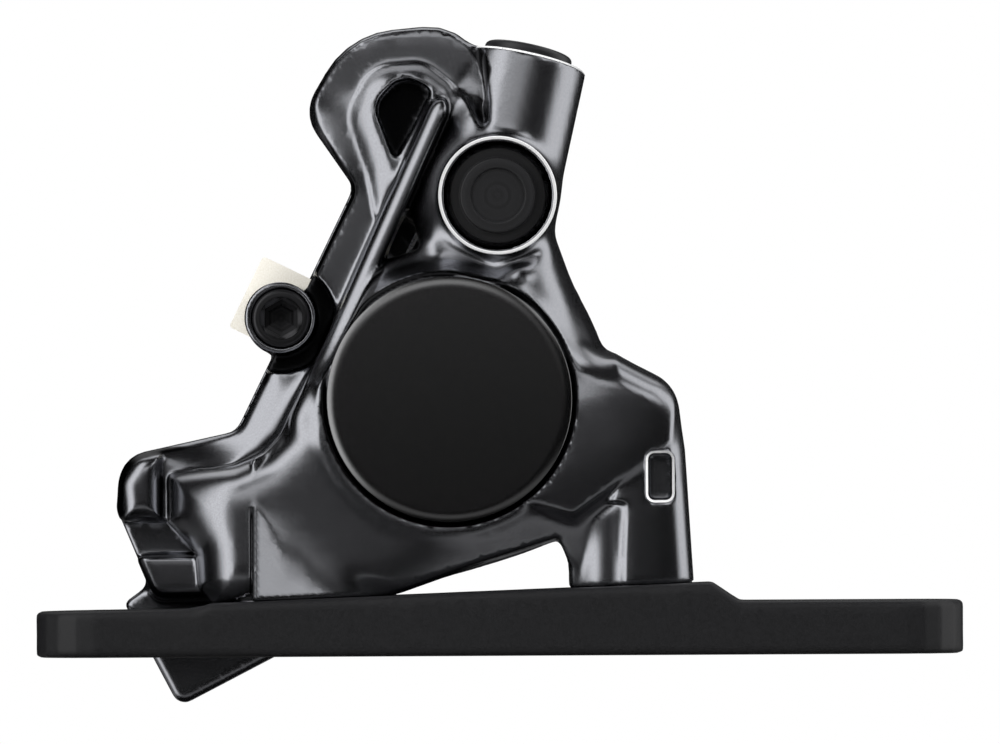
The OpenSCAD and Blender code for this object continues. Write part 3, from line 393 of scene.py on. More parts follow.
throat_line = rounded([
    (-3.6, 52.1, 0.5), (-2.4, 54.2, 0), (-1.7, 57, 0), (-1.5, 54.5, 0), (-0.9, 50.9, 2),
    (-0.8, 48.8, 0.5), (-1.3, 47.8, 0.5), (-2.5, 49.5, 1),
])
print("web outline:", len(web_line), "points")

# %% [markdown]
# Then the forms themselves. Each is one function, so that it can be read beside the part it makes.
# The bridge ties the two halves together over the rotor. It is a flat strip with a lobe at its upper end;
# only its nose and its lower end twist away, which a plane that fades in does better than a bent mesh.
# The fillets differ on purpose: small ones beside the long rib, so that its crest stays crisp,
# and wide ones where the bleed boss and the arm run out. A sloping face is written as a height,
# which is more than the true distance, so a factor a little below 1 brings it back.

# %% Bridge and inboard half
STEP = 0.25
SEAT_LEFT, SEAT_RIGHT = (-26.3, 4.9), (19.45, 6.6)  # ends of the plate's sloping seat
SEAT_SLOPE = (SEAT_RIGHT[1] - SEAT_LEFT[1]) / (SEAT_RIGHT[0] - SEAT_LEFT[0])
STRIP_D, STRIP_LEAN, STRIP_LEAN_Z = 10, 0.04, 36  # depth of the strip's face, and how it leans back
INBOARD_D, BULGE_D = -11.8, -16.55
PAST = 30  # a depth well in front of the body, for cuts that run out there

f = Field((-36.5, -7.6, -6), (19, 31.6, 59), STEP)
reach = np.hypot(f.u, f.v)
strip_depth = f.d + STRIP_LEAN * (f.z - STRIP_LEAN_Z)


def seat(x):
    """Height of the plate's seat."""
    return SEAT_LEFT[1] + (x - SEAT_LEFT[0]) * SEAT_SLOPE


def bridge():
    """Flat outboard strip and lobe; its nose and its lower end twist away to the left."""
    face = carried(outline(f.u, f.v, bridge_line), strip_depth, -12, STRIP_D, 0.25)
    on_nose = (1 - ease(f.z, 46.5, 42)) * (1 - ease(f.z, 49, 52))
    nose = strip_depth - 10.1 - on_nose * (0.5 * (f.x + 14.9) + 0.1 * (f.z - 48))
    on_end = (1 - ease(f.v, -7, -2)) * (1 - ease(f.v, -11, -17))
    end = f.d - 10.2 - on_end * 0.5 * (f.u + 13.2)
    return both(both(face, nose * 0.88, 1.6), end * 0.88, 0.8)


def inboard_half():
    """Wall behind the rotor with the round bulge of its cylinder and a block below the plate."""
    half = carried(outline(f.u, f.v, inboard_line), f.d, INBOARD_D, 0.5, 1.2)
    bulge = carried(reach - 13.0, f.d, BULGE_D, 0.5, 1.8)
    block = carried(outline(f.u, f.v, block_line), f.d, -11.6, 5.5, 0.7)
    return join(join(half, bulge, 2.5), block, 1.0)


def lug():
    """Two bumps at the lower end of the bridge with a notch between them."""
    upper = carried(outline(f.x, f.z, lug_upper_line), f.d, -11.5, 11.5, 1.7)
    lower = carried(outline(f.x, f.z, lug_lower_line), f.d, -11.5, 9.5, 1.2)
    return join(upper, lower, 0.3)


body = join(bridge(), inboard_half(), 1.0)
body = cut(body, carried(outline(f.x, f.z, lug_notch_line), f.d, 3.5, PAST, 0.3), 0.4)
body = join(body, lug(), 0.4)
print("bridge joined to the inboard half on a grid of", body.shape)

# %% [markdown]
# The lower front is one broad face. It stands almost upright, so it mirrors the dark side of the studio,
# rounds away at its left end, where it catches one upright light, and turns a little at the right leg.
# Several forms share it, so it is one number for each place: the depth of the face there.

# %% Front face
FRONT_D, FRONT_LEAN, FRONT_LEAN_Z = 17.4, 0.02, 12
ROUND_X, ROUND_W = -23.3, 2.2  # where the left end starts to round away, and the width of its arc
LEG_X, LEG_W, LEG_SLOPE = 8.5, 7, 0.3  # the same for the turn of the leg, and its slope at the end


def side_drop():
    """How far the front rounds away at the left end of the web: a small arc, then an ever steeper run."""
    t = np.maximum(ROUND_X - f.x, 0)
    s = np.maximum(t - ROUND_W, 0)
    t = np.minimum(t, ROUND_W)
    return 5.9 - np.sqrt(34.8 - t * t) + 0.402 * s + 0.075 * s * s


def leg_turn(x):
    """How far the front falls away to the right over the leg: a long curve, then straight."""
    t = np.clip(x - LEG_X, 0, LEG_W)
    return LEG_SLOPE * (t * t / (2 * LEG_W) + np.maximum(x - LEG_X - LEG_W, 0))


front_face = FRONT_D + FRONT_LEAN * (FRONT_LEAN_Z - f.z) - side_drop() - leg_turn(f.x)
print("front face at its foremost:", round(float(front_face.max()), 1), "mm from the rotor")

# %% [markdown]
# The cylinder's wall is a cone that stands a little proud round the cap. The arm carries the hose and bleed
# bosses. It has a round back that falls away to a steep strip along the right-hand edge,
# and it flattens out into the front face at the shoulder, so its roundness fades with the height.

# %% Cylinder and arm
RIB_SIDE = -11.2
ARM_R = 6.4
ARM_EDGE = (5.4, 38.8)  # a place on the right-hand edge
ARM_INWARDS = (-0.941, -0.337)  # the way from that edge into the arm
STRIP_WAY = (0.966, 0.259)  # the strip along that edge faces 15 degrees off the side


def cylinder_housing():
    """Round core with a cone towards the cap; the rib's side cuts it off at the left."""
    core = carried(reach - CORE_R, f.d, -0.5, 12.4, 1.2)
    wall = (reach - (13.2 - 0.36 * (f.d - 12.3))) * 0.94
    cone = both(np.maximum(wall, 8 - f.d), f.d - 16.45, 0.3)
    return both(join(core, cone, 1.5), RIB_SIDE - f.u, 0.6)


def arm():
    """Round back with a steep strip along its right-hand edge; it flattens out at the shoulder."""
    t = ARM_INWARDS[0] * (f.x - ARM_EDGE[0]) + ARM_INWARDS[1] * (f.z - ARM_EDGE[1])
    sunk = 3 * ease(t, 4, 8) * ease(f.z, 33, 36)
    past = 10 * ease(f.z, 29, 21)
    deep = f.d - front_face + ARM_R + sunk
    back = np.hypot(np.maximum(ARM_R + 0.3 - t - past, 0), np.maximum(deep, 0)) - ARM_R
    strip = (0.9 - t - past) * STRIP_WAY[0] + (deep - 2.7) * STRIP_WAY[1]
    limit = outline(f.x, f.z, arm_line)
    return np.maximum(both(both(back, strip, 0.8), limit, 0.5 + 3 * ease(f.x, 0, -4)), -f.d)


body = join(body, cylinder_housing(), 1.2)
body = join(body, arm(), 1.0 + 1.5 * ease(f.x, 0, -4))
print("cylinder and arm joined")

# %% [markdown]
# The web ties the cylinder to both feet. Below its crest it slopes back under the body, down to the arch
# over the plate. Its edge is crisp in the middle and rounder at the shoulder, at the leg and at the left end,
# so the width of the easing is itself a field that changes from place to place.

# %% Web
CREST_A, CREST_B = np.array((-13.1, 6.0)), np.array((14.25, 19.7))
CREST_SLOPE = 0.26

crest_up = np.array((CREST_A[1] - CREST_B[1], CREST_B[0] - CREST_A[0])) / np.linalg.norm(CREST_B - CREST_A)
above = (f.x - CREST_A[0]) * crest_up[0] + (f.z - CREST_A[1]) * crest_up[1]
edge_k = 0.5 + 2.2 * ease(f.z, 14, 19) * ease(f.x, 3, 9) + 1.7 * ease(f.z, 19, 14) * ease(f.x, 12, 15)
edge_k = edge_k + 3.6 * ease(f.x, -8, -14)


def web():
    """Broad wall between the feet: the front face above its crest, a slope below it."""
    front = (f.d - front_face) * 0.9
    slope = (f.d - front_face - CREST_SLOPE * above) * 0.95
    limit = np.minimum(outline(f.x, f.z, web_line), outline(f.x, f.z, leg_line))
    return np.maximum(both(both(front, slope, 0.4), limit, edge_k), -f.d)


body = join(body, web(), 0.3 + 1.7 * ease(f.x, -26, -20))
print("web joined")

# %% [markdown]
# A flat gusset stands over the left bolt. The right foot is a column with a lower pillar at its left,
# and between them runs a wall in the shape of a crescent. Planes and outlines are enough for both feet.

# %% Feet
FOOT_BACK = 7.8
FLARE_X = -22.6
PILLAR_X, PILLAR_R = 10.4, 4


def left_foot():
    """Gusset over the left bolt: a flat flare with an upright wall at its left."""
    flare = plane(f, (FLARE_X, 20.6, 5.4), (0.36, 1, 0.36))
    flare = both(flare, FLARE_X - f.x, 0.35)
    return np.maximum(both(flare, outline(f.x, f.z, web_line), 0.5), FOOT_BACK - f.d)


def right_foot():
    """Column under the leg with a crescent wall, and the lower pillar beside it."""
    front = (f.d - front_face) * 0.9
    bevel = plane(f, (11.9, FRONT_D + 0.3, 6.6), (-0.68, 0.73, 0.04)) - 6 * ease(f.z, 13.6, 15.2)
    side = outline(f.x, f.z, foot_side_line)
    wall = (f.d - 17.0 + 0.45 * np.maximum(14.2 - f.x, 0) + 3 * side) * 0.3
    column = both(front, both(wall, bevel, 0.3), 0.4)
    column = both(column, outline(f.x, f.z, leg_line), edge_k)
    pillar = carried(outline(f.x, f.z, pillar_line), f.d, FOOT_BACK, 16.7, 0.5)
    round_side = np.hypot(np.maximum(PILLAR_X - f.x, 0), np.maximum(f.d - 12.7, 0)) - PILLAR_R
    pillar = both(pillar, np.where(f.x < PILLAR_X, round_side, -9), 0.3)
    return np.maximum(join(np.maximum(column, side), pillar, 0.3), FOOT_BACK - f.d)


body = join(body, left_foot(), 0.15 + 0.8 * ease(f.x, -22, -19))
body = join(body, right_foot(), 0.5)
print("feet joined")

# %% [markdown]
# The hose boss leans to the right and inwards. A fold of the forging runs down its left side from the lobe.
# The bleed boss stands on a wide flare. On the real one a cutter has spot-faced the arm round it,
# so here the ground is cut first and the boss is joined to it afterwards.

# %% Bosses
HOSE_FROM = np.array((0.0, 8.0, 42.0))  # x, depth and z
HOSE_DIR = np.array((0.2147, -0.1528, 0.9647))
HOSE_LEN, HOSE_R = 12.9, 5.5
BOSS_R, BOSS_TOP = 5.3, 16.2
SPOT_R, SPOT_FLOOR = 6.4, 14.9


def hose_rod(r, low, high, edge):
    """Round rod about the hose port's axis."""
    x, d, z = (a - p for a, p in zip((f.x, f.d, f.z), HOSE_FROM))
    along = x * HOSE_DIR[0] + d * HOSE_DIR[1] + z * HOSE_DIR[2]
    away = np.sqrt(np.maximum(x * x + d * d + z * z - along * along, 0)) - r
    return carried(away, along, low, high, edge)


def bleed_rod(r, low, high, edge):
    """Round rod about the bleed port's axis."""
    return carried(np.hypot(f.x - BLEED[0], f.z - BLEED[1]) - r, f.d, low, high, edge)


def bleed_boss():
    """Cup of the bleed port on its flare."""
    out = np.hypot(f.x - BLEED[0], f.z - BLEED[1])
    flare = both((out - 5.4 - 1.0 * (13.2 - f.d)) * 0.7, f.d - 13.4, 0.8)
    flare = both(flare, f.x + 1, 2.5)
    return join(bleed_rod(BOSS_R, 2.6, BOSS_TOP, 0.25), np.maximum(flare, 9.5 - f.d), 0.6)


body = join(body, hose_rod(HOSE_R, -4, HOSE_LEN - 0.1, 0.3), 0.8)
body = cut(body, carried(outline(f.x, f.z, throat_line), f.d, 9.0, PAST, 0.3), 0.7)
body = cut(body, bleed_rod(SPOT_R, SPOT_FLOOR, PAST, 0.5), 2.4)
body = join(body, bleed_boss(), 1.3)
print("hose boss", HOSE_LEN, "mm long and bleed boss joined")

# %% [markdown]
# Pockets come next, as the forging die leaves them: one in the lobe inside a raised rim, a small nook
# beside the rib and a round one for the axle's ear. They could be pressed into the mesh in Sculpt Mode,
# but then nobody could change their sizes. The long rib runs over their edges, so it is joined after them.

# %% Pockets and rib
EAR_RING_R = 5.0
RIB_TOP, RIB_R = 12.7, 1.5

tear = outline(f.u, f.v, tear_line)
nook = outline(f.u, f.v, nook_line)
ear_ring = np.hypot(f.u + AXLE_X, f.v) - EAR_RING_R
across = f.u + 12.4 - (24.4 - f.v) / 31.4  # distance from the rib's line, which leans a little off the pads


def rim():
    """Raised edge round the pocket of the lobe, with a wide outer slope."""
    s = outline(f.u, f.v, rim_line) - 0.35
    top = strip_depth - 9.85 - 0.95 * ease(-s, 0, 2.4)
    return np.maximum(top * 0.82, np.maximum(s, 4.6 - f.d))


def long_rib():
    """Rounded rib along the strip; below, it rises into the web's own edge."""
    crest = RIB_TOP + 4.0 * ease(f.v, 3, -7)
    ridge = np.hypot(across - 0.5, np.maximum(f.d - crest + RIB_R, 0)) - RIB_R
    rib = both(ridge, across - 0.85, 0.3)
    return np.maximum(both(rib, np.maximum(f.v - 24.8, -9 - f.v), 2.0), 4 - f.d)


body = join(body, rim(), 0.6)
for shape, bottom, edge, k in ((tear, 7, 0.3, 0.35), (nook, 7, 0.3, 0.3), (ear_ring, 7.2, 0.1, 0.25)):
    body = cut(body, carried(shape, f.d, bottom, PAST, edge), k)
body = join(body, long_rib(), 0.6)
print("three pockets cut, rib joined")

# %% [markdown]
# Slots and bores are cut last, as they are on the real one, with crisp edges: the rotor's slot,
# the pads' pocket, the window, the seat on the plate, the stepped cylinder and the ports.
# Boolean modifiers could do that on the mesh, but they leave long thin faces.
# On the grid a cut is one more comparison.

# %% Machined cuts
RIM_W = 0.22  # width of the bright edge round the window
ROTOR_U, ROTOR_R = 72.5, 81.5  # the rotor's middle, right of the cylinders, and the room that it needs
SLOT_HALF, POCKET_HALF = 2.6, 5.8
POCKET_LEFT, POCKET_RIGHT, POCKET_UP = -28.2, 8.25, 13.25
CYLINDER_STEPS = ((9.55, -14.45, 0.15), (10.35, 14.45, 0.15), (11.45, 16.45, 0.25))  # radius, floor, edge
AXLE_SEAT, AXLE_HEAD_R, AXLE_HOLE_R = 9, 2.7, 1.95
WINDOW_FLOOR, SEAT_HALF = 13, 8.1
CUP_R, CUP_FLOOR, NIPPLE_R, NIPPLE_FLOOR = 4.95, 11, 2.55, 8.4
PLUG_BORE_R, PLUG_BORE_LEN = 3.62, 7.5
BOLT_BORE_R, BOLT_BORE_LEN = 2.6, 5.9


def bar(u, v, r, low, high):
    """Round bar square to the pads."""
    return carried(np.hypot(f.u - u, f.v - v) - r, f.d, low, high, 0.1)


def passage_bore():
    """Bore for the plug of the drilled passage, where the frame has it."""
    low, high = (np.array(p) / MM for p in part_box("passage_plug"))
    middle, r = (low + high) / 2, (high[0] - low[0]) / 2 + 0.05
    return carried(np.hypot(f.x - middle[0], f.z - middle[2]) - r, f.y, low[1] - 0.2, high[1] + 2, 0.1)


def machined():
    """Each cut in its order, with the width of its broken edge."""
    yield carried(np.hypot(f.u - ROTOR_U, f.v) - ROTOR_R, f.d, -SLOT_HALF, SLOT_HALF, 0.2), 0.2
    pocket = np.maximum(np.abs(f.v) - POCKET_UP, np.maximum(f.u - POCKET_RIGHT, POCKET_LEFT - f.u))
    yield carried(pocket, f.d, -POCKET_HALF, POCKET_HALF, 0.2), 0.2
    window = outline(f.x, f.z, window_line)
    yield carried(window, f.d, WINDOW_FLOOR, PAST, 0.2), 0.2
    yield np.maximum(f.z - seat(f.x), np.abs(f.y) - SEAT_HALF), 0.3
    for r, bottom, edge in CYLINDER_STEPS:
        yield bar(0, 0, r, bottom, PAST), edge
    yield bar(-AXLE_X, 0, AXLE_HEAD_R, AXLE_SEAT, PAST), 0.15
    yield bar(-AXLE_X, 0, AXLE_HOLE_R, -PAST, AXLE_SEAT), 0.15
    yield bleed_rod(CUP_R, CUP_FLOOR, PAST, 0.1), 0.1
    yield bleed_rod(NIPPLE_R, NIPPLE_FLOOR, CUP_FLOOR + 1, 0.1), 0.1
    yield hose_rod(PLUG_BORE_R, HOSE_LEN - PLUG_BORE_LEN, HOSE_LEN + 1, 0.1), 0.1
    yield passage_bore(), 0.1
    yield np.maximum(window - RIM_W, front_face - RIM_W - f.d), 0.05
    for x in BOLT_XS:
        yield np.maximum(np.hypot(f.x - x, f.y) - BOLT_BORE_R, f.z - seat(x) - BOLT_BORE_LEN), 0.1


outboard_ear = bar(-AXLE_X - 0.12, 0, 3.25, 5.1, 11.3)
inboard_ear = bar(-AXLE_X, 0, 3.45, -12.3, -5.1)
body = join(body, np.minimum(outboard_ear, inboard_ear), 0.5)
for recess, edge in machined():
    body = cut(body, recess, edge)
print("body cut,", round(float((body < 0).sum()) * STEP ** 3 / 1000, 1), "cm3 left")

# %% [markdown]
# Less light reaches a recess, so the coat is painted darker there: painted shade. The grid knows most
# recesses by itself.
# A few narrow ones that it would miss, and a few edges kept dark with painted shade, are marked here, each as
# a number from 0 to 1, and then the grid becomes the mesh of the body.

# %% Painted shade in recesses and body mesh
def recesses():
    """Painted shade in three pockets, along the bridge's edge, round the lip of the cap, on the rib's flank
    and at the gusset's wall.
    """
    yield ease(tear, 0.1, -0.2) * ease(f.d, 9.8, 8.3)
    yield ease(nook, 0.3, 0) * ease(f.d, 13, 11.5)
    yield ease(ear_ring, 0.1, -0.2) * ease(f.d, 9.8, 8.3) * (f.u > -AXLE_X - 3)
    seam = np.abs(outline(f.u, f.v, bridge_line))
    yield ease(seam, 0.9, 0.4) * ease(f.d, 8.3, 9) * ease(f.d, 11.4, 10.8)
    yield ease(np.abs(reach - 11.55), 0.45, 0.2) * ease(f.d, 15.5, 16)
    flank = ease(across, 0.4, 0.65) * ease(across, 1.7, 1.2) * ease(f.v, -3, 0) * ease(f.v, 25, 23)
    yield flank * ease(f.d, 9, 10)
    yield ease(np.abs(f.x - FLARE_X), 0.5, 0.2) * (f.z < 14) * ease(f.d, 14, 15)


# painted shade from all marked places, the darkest of them at each point
extra_shade = np.zeros(body.shape, np.float32)
for dark in recesses():
    extra_shade = np.maximum(extra_shade, dark)
forged_body = mesh_from("forged_body", f, body, thin=0.006, extra_shade=extra_shade)
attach(forged_body, "caliper")
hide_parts("caliper_body")

# %% [markdown]
# ## Finishes
# No real finish is one flat colour, and a picture wrapped round a piece would stretch.
# Each finish here follows the same small recipe: a noise as fine as the grain of the real coat
# shifts the colour, spreads the roughness and raises a faint bump. Turned pieces carry an attribute
# that counts along the profile, so their noise runs in rings, as a tool's marks do.

# %% Grain
def link(tree, out, into):
    """Joins two sockets of a tree."""
    tree.links.new(out, into)


def finish(name, dark, light, grain, rough, bump, lines=False, stretch=(1, 1, 1), **sockets):
    """Coat or metal with a grain given in mm; colour runs from dark to light, roughness over rough."""
    mat = bpy.data.materials.new(name)
    mat.use_nodes = True
    tree = mat.node_tree
    shader = tree.nodes["Principled BSDF"]
    for socket, value in sockets.items():
        shader.inputs[socket.replace("_", " ")].default_value = value
    noise = tree.nodes.new("ShaderNodeTexNoise")
    noise.inputs["Detail"].default_value = 3
    if lines:
        noise.noise_dimensions = "1D"
        noise.inputs["Scale"].default_value = 1 / grain
        count = tree.nodes.new("ShaderNodeAttribute")
        count.attribute_name = "lathe"
        link(tree, count.outputs["Fac"], noise.inputs["W"])
    else:
        noise.inputs["Scale"].default_value = 1 / (grain * MM)
        place = tree.nodes.new("ShaderNodeTexCoord")
        turn = tree.nodes.new("ShaderNodeMapping")
        turn.inputs["Scale"].default_value = stretch
        link(tree, place.outputs["Object"], turn.inputs["Vector"])
        link(tree, turn.outputs["Vector"], noise.inputs["Vector"])
    colour = tree.nodes.new("ShaderNodeValToRGB")
    for stop, at, shade in zip(colour.color_ramp.elements, (0.3, 0.7), (dark, light)):
        stop.position = at
        stop.color = (*shade, 1)
    link(tree, noise.outputs["Fac"], colour.inputs["Fac"])
    link(tree, colour.outputs["Color"], shader.inputs["Base Color"])
    spread = tree.nodes.new("ShaderNodeMapRange")
    spread.inputs["From Min"].default_value = 0.25
    spread.inputs["From Max"].default_value = 0.75
    spread.inputs["To Min"].default_value, spread.inputs["To Max"].default_value = rough
    link(tree, noise.outputs["Fac"], spread.inputs["Value"])
    link(tree, spread.outputs["Result"], shader.inputs["Roughness"])
    dent = tree.nodes.new("ShaderNodeBump")
    dent.inputs["Strength"].default_value = bump
    dent.inputs["Distance"].default_value = 0.02 * MM
    link(tree, noise.outputs["Fac"], dent.inputs["Height"])
    link(tree, dent.outputs["Normal"], shader.inputs["Normal"])
    return mat


def with_painted_shade(mat):
    """Darkens a coat by the piece's painted shade attribute: painted shade where less light reaches, in
    recesses and on a few marked edges.
    """
    tree = mat.node_tree
    colour = tree.nodes["Color Ramp"]
    shader = tree.nodes["Principled BSDF"]
    deep = tree.nodes.new("ShaderNodeAttribute")
    deep.attribute_name = "painted_shade"
    keep = tree.nodes.new("ShaderNodeMapRange")
    for socket, value in (("From Min", 0.45), ("From Max", 0.82), ("To Min", 1.0), ("To Max", 0.05)):
        keep.inputs[socket].default_value = value
    link(tree, deep.outputs["Fac"], keep.inputs["Value"])
    dim = tree.nodes.new("ShaderNodeVectorMath")
    dim.operation = "SCALE"
    link(tree, colour.outputs["Color"], dim.inputs["Vector"])
    link(tree, keep.outputs["Result"], dim.inputs["Scale"])
    link(tree, dim.outputs["Vector"], shader.inputs["Base Color"])
    return mat


def dress(piece, mat):
    """Gives a piece one material."""
    piece.data.materials.clear()
    piece.data.materials.append(mat)


# %% [markdown]
# The body's coat is a dark, slightly blue metallic with a fine sparkle. The cap is black with a satin sheen
# and the plate is matt black. Each finish says its two colours, its grain in mm, its roughness and its bump.

# %% Coats
# The body's coat is darkened by painted shade in its recesses and on a few marked edges.
gunmetal = with_painted_shade(finish(
    "gunmetal coat", (0.355, 0.361, 0.385), (0.425, 0.431, 0.458), 0.12, (0.21, 0.27), 0.03, Metallic=1.0))
cap_coat = finish(
    "cap coat", (0.21, 0.21, 0.212), (0.27, 0.27, 0.273), 0.1, (0.19, 0.24), 0.006, Metallic=1.0)
plate_coat = finish("plate coat", (0.004, 0.004, 0.0045), (0.008, 0.008, 0.009), 0.14, (0.45, 0.6), 0.15)
pad_coat = finish("pad plate coat", (0.86, 0.82, 0.72), (0.97, 0.94, 0.86), 0.15, (0.4, 0.55), 0.15)
dress(forged_body, gunmetal)
print(len(bpy.data.materials), "materials")

# %% [markdown]
# Rubber and plastic scatter light and are almost as dark as the plate. Steel and bare metal mirror it.
# The lining is a coarse mix of fibres and grit, the pistons are a pale ceramic, and the sheet of the spring
# has lines along its length from rolling, which a stretched noise gives.

# %% Rubber, metal and the rest
soft_rubber = finish(
    "cap rubber", (0.007, 0.007, 0.0075), (0.01, 0.01, 0.011), 0.35, (0.46, 0.56), 0.04, lines=True)
seal_rubber = finish("seal rubber", (0.008, 0.008, 0.008), (0.014, 0.014, 0.014), 0.2, (0.5, 0.65), 0.2)
plug_plastic = finish(
    "plug plastic", (0.008, 0.008, 0.009), (0.014, 0.014, 0.015), 0.5, (0.32, 0.45), 0.1, lines=True)
black_steel = finish(
    "black steel", (0.035, 0.035, 0.037), (0.06, 0.06, 0.063), 0.25, (0.25, 0.36), 0.1,
    lines=True, Metallic=0.9)
bare_metal = finish(
    "bare metal", (0.8, 0.8, 0.81), (0.95, 0.95, 0.95), 0.08, (0.3, 0.42), 0.1, lines=True, Metallic=0.45)
bolt_steel = finish(
    "bolt steel", (0.42, 0.42, 0.44), (0.58, 0.58, 0.6), 0.2, (0.28, 0.4), 0.1, Metallic=1.0)
spring_sheet = finish(
    "spring sheet", (0.5, 0.5, 0.52), (0.7, 0.7, 0.72), 0.2, (0.22, 0.36), 0.08,
    stretch=(1, 0.06, 1), Metallic=1.0)
lining_mix = finish("lining mix", (0.05, 0.042, 0.036), (0.34, 0.24, 0.16), 0.45, (0.7, 0.9), 0.6)
ceramic = finish("piston ceramic", (0.62, 0.61, 0.58), (0.78, 0.77, 0.74), 0.18, (0.28, 0.4), 0.08)

inner_pieces = {
    seal_rubber: ("bore_cap_seal", "outboard_piston_seal", "inboard_piston_seal", "bleed_nipple_seal"),
    ceramic: ("outboard_piston", "inboard_piston"),
    pad_coat: ("outboard_pad_plate", "inboard_pad_plate"),
    lining_mix: ("outboard_pad_lining", "inboard_pad_lining"),
    spring_sheet: ("pad_spring",),
    bolt_steel: ("pad_axle_clip", "bleed_nipple", "passage_plug"),
}
for mat, names in inner_pieces.items():
    for name in names:
        dress(nodes[name], mat)
print(len(bpy.data.materials), "materials,", sum(map(len, inner_pieces.values())), "inner pieces dressed")

# %% [markdown]
# ## Turned pieces
# The cap, the plugs, the axle and the bare rings come off a lathe, so they are made like that here:
# a profile of radius and height is carried round an axis. The Screw modifier does that too,
# but it can't change from round to six-sided along the way, and a key's socket needs that.
# Their edges are broken by small arcs, because a sharp edge catches no light.

# %% Lathe
LATHE_STEPS = 96


def arc(r, h, size, start=0, end=90, steps=6):
    """Rows along part of a small circle about (r, h), in degrees."""
    angles = np.radians(np.linspace(start, end, steps))
    return [(r + size * math.cos(a), h + size * math.sin(a)) for a in angles]


def turned(name, rows, origin, way, closed=False):
    """Surface of rows (radius, height and, for a socket, 6 sides) about an axis; sizes in mm."""
    angles = np.arange(LATHE_STEPS) * 2 * math.pi / LATHE_STEPS
    six = 1 / np.cos((angles + math.pi / 6) % (math.pi / 3) - math.pi / 6)
    stand = Matrix.Translation(Vector(origin)) @ Vector(way).to_track_quat("Z", "Y").to_matrix().to_4x4()
    bm = bmesh.new()
    lathe = bm.verts.layers.float.new("lathe")
    rings, run, last = [], 0.0, rows[0]
    for r, h, *sides in rows:
        run += math.hypot(r - last[0], h - last[1])
        last = (r, h)
        radii = r * (six if sides else np.ones(LATHE_STEPS))
        spots = [(q * math.cos(a), q * math.sin(a), h) for q, a in zip(radii, angles)]
        if r == 0:
            spots = [(0, 0, h)]
        rings.append([bm.verts.new((stand @ Vector(p)) * MM) for p in spots])
        for v in rings[-1]:
            v[lathe] = run
    pairs = list(zip(rings[:-1], rings[1:])) + ([(rings[-1], rings[0])] if closed else [])
    for a, b in pairs:
        for i in range(LATHE_STEPS):
            j = (i + 1) % LATHE_STEPS
            corners = [a[i % len(a)], a[j % len(a)], b[j % len(b)], b[i % len(b)]]
            bm.faces.new(list(dict.fromkeys(corners)))
    return finished(name, bm, 30)


def finished(name, bm, sharp):
    """Object from a bmesh, faces outward, smooth but for edges over the angle sharp."""
    bmesh.ops.recalc_face_normals(bm, faces=bm.faces)
    mesh = bpy.data.meshes.new(name)
    bm.to_mesh(mesh)
    bm.free()
    mesh.shade_smooth()
    mesh.set_sharp_from_angle(angle=math.radians(sharp))
    piece = bpy.data.objects.new(name, mesh)
    bpy.context.scene.collection.objects.link(piece)
    print(name, len(mesh.polygons), "faces")
    return piece


def fit(piece, body, mat, slot, *replaced):
    """Dresses a piece, lets it ride on its body and takes the place of the CAD nodes that it shows."""
    dress(piece, mat)
    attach(piece, body)
    if replaced:
        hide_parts(*replaced)


# %% [markdown]
# The cap closes the cylinder with a spigot and a groove for its seal. Its face is flat and rolls over
# at the rim, where it catches a thin light. The bleed port's cover is soft rubber with a raised ring to grip.
# The dust plug is a thin plastic cup with a flange. Primitive cylinders with bevels would come close,
# but a profile says each step and each arc once, in the order in which a turner would cut them.

# %% Caps and plug
OUT = (0, -1, 0)
hose_way = Vector((HOSE_DIR[0], -HOSE_DIR[1], HOSE_DIR[2]))
hose_top = Vector((HOSE_FROM[0], ROTOR_Y - HOSE_FROM[1], HOSE_FROM[2])) + hose_way * HOSE_LEN

cylinder_cap = turned("cylinder_cap", [
    (0, 0), (10.3, 0), (10.3, 0.5), (9.5, 0.5), (9.5, 1.35), (10.3, 1.35), (10.3, 2.0),
    *arc(11.05, 2.15, 0.15, -90, 0, 3), *arc(11.1, 3.68, 0.1, 0, 63, 3),
    *arc(10.2, 1.9, 2.1, 63, 90, 8), (0, 4.0),
], (PISTON[0], ROTOR_Y - 14.45, PISTON[1]), OUT)
fit(cylinder_cap, "caliper", cap_coat, "cap_black", "bore_cap")

bleed_cover = turned("bleed_cover", [
    (0, 1.4), (1.85, 1.4), (1.85, 0), *arc(4.25, 0.15, 0.15, -90, 0, 3), *arc(4.2, 1.8, 0.2),
    (3.55, 2.0), *arc(3.55, 2.1, 0.1, -90, -180, 3), *arc(3.25, 2.6, 0.2), (2.6, 2.8),
    *arc(2.6, 2.65, 0.15, 90, 180, 4), (2.4, 2.55), (0, 2.55),
], (BLEED[0], ROTOR_Y - 13.2, BLEED[1]), OUT)
fit(bleed_cover, "bleed_cap", soft_rubber, "cap_rubber", "bleed_cap")

dust_plug = turned("dust_plug", [
    (0, -0.6), (2.4, -0.6), (2.4, -4.5), (3.4, -4.5), (3.55, -4.3), (3.55, 0),
    *arc(3.9, 0.15, 0.15, -90, 0, 3), *arc(3.65, 0.55, 0.4),
    (2.6, 0.95), *arc(2.6, 0.85, 0.1, 90, 180, 3), (2.4, 0.8), (0, 0.8),
], hose_top, hose_way)
fit(dust_plug, "hose_plug", plug_plastic, "plug_plastic", "hose_port_plug")

# %% [markdown]
# The pads hang on a steel axle with a key's socket, a short thread behind its head and a groove for its clip.
# Its thread is drawn as rings instead of a helix, because only their edges are ever seen.
# Two bare rings show where a cutter has gone through the coat:
# one round the bleed port and one at the hose port's mouth.

# %% Axle and bare rings
THREAD_TURNS, THREAD_STEP = 12, 0.25
axle_at = on_pads(-AXLE_X, 0)
axle_thread = [(2.2 - 0.22 * (i % 2), -3 + i * THREAD_STEP) for i in range(THREAD_TURNS)]

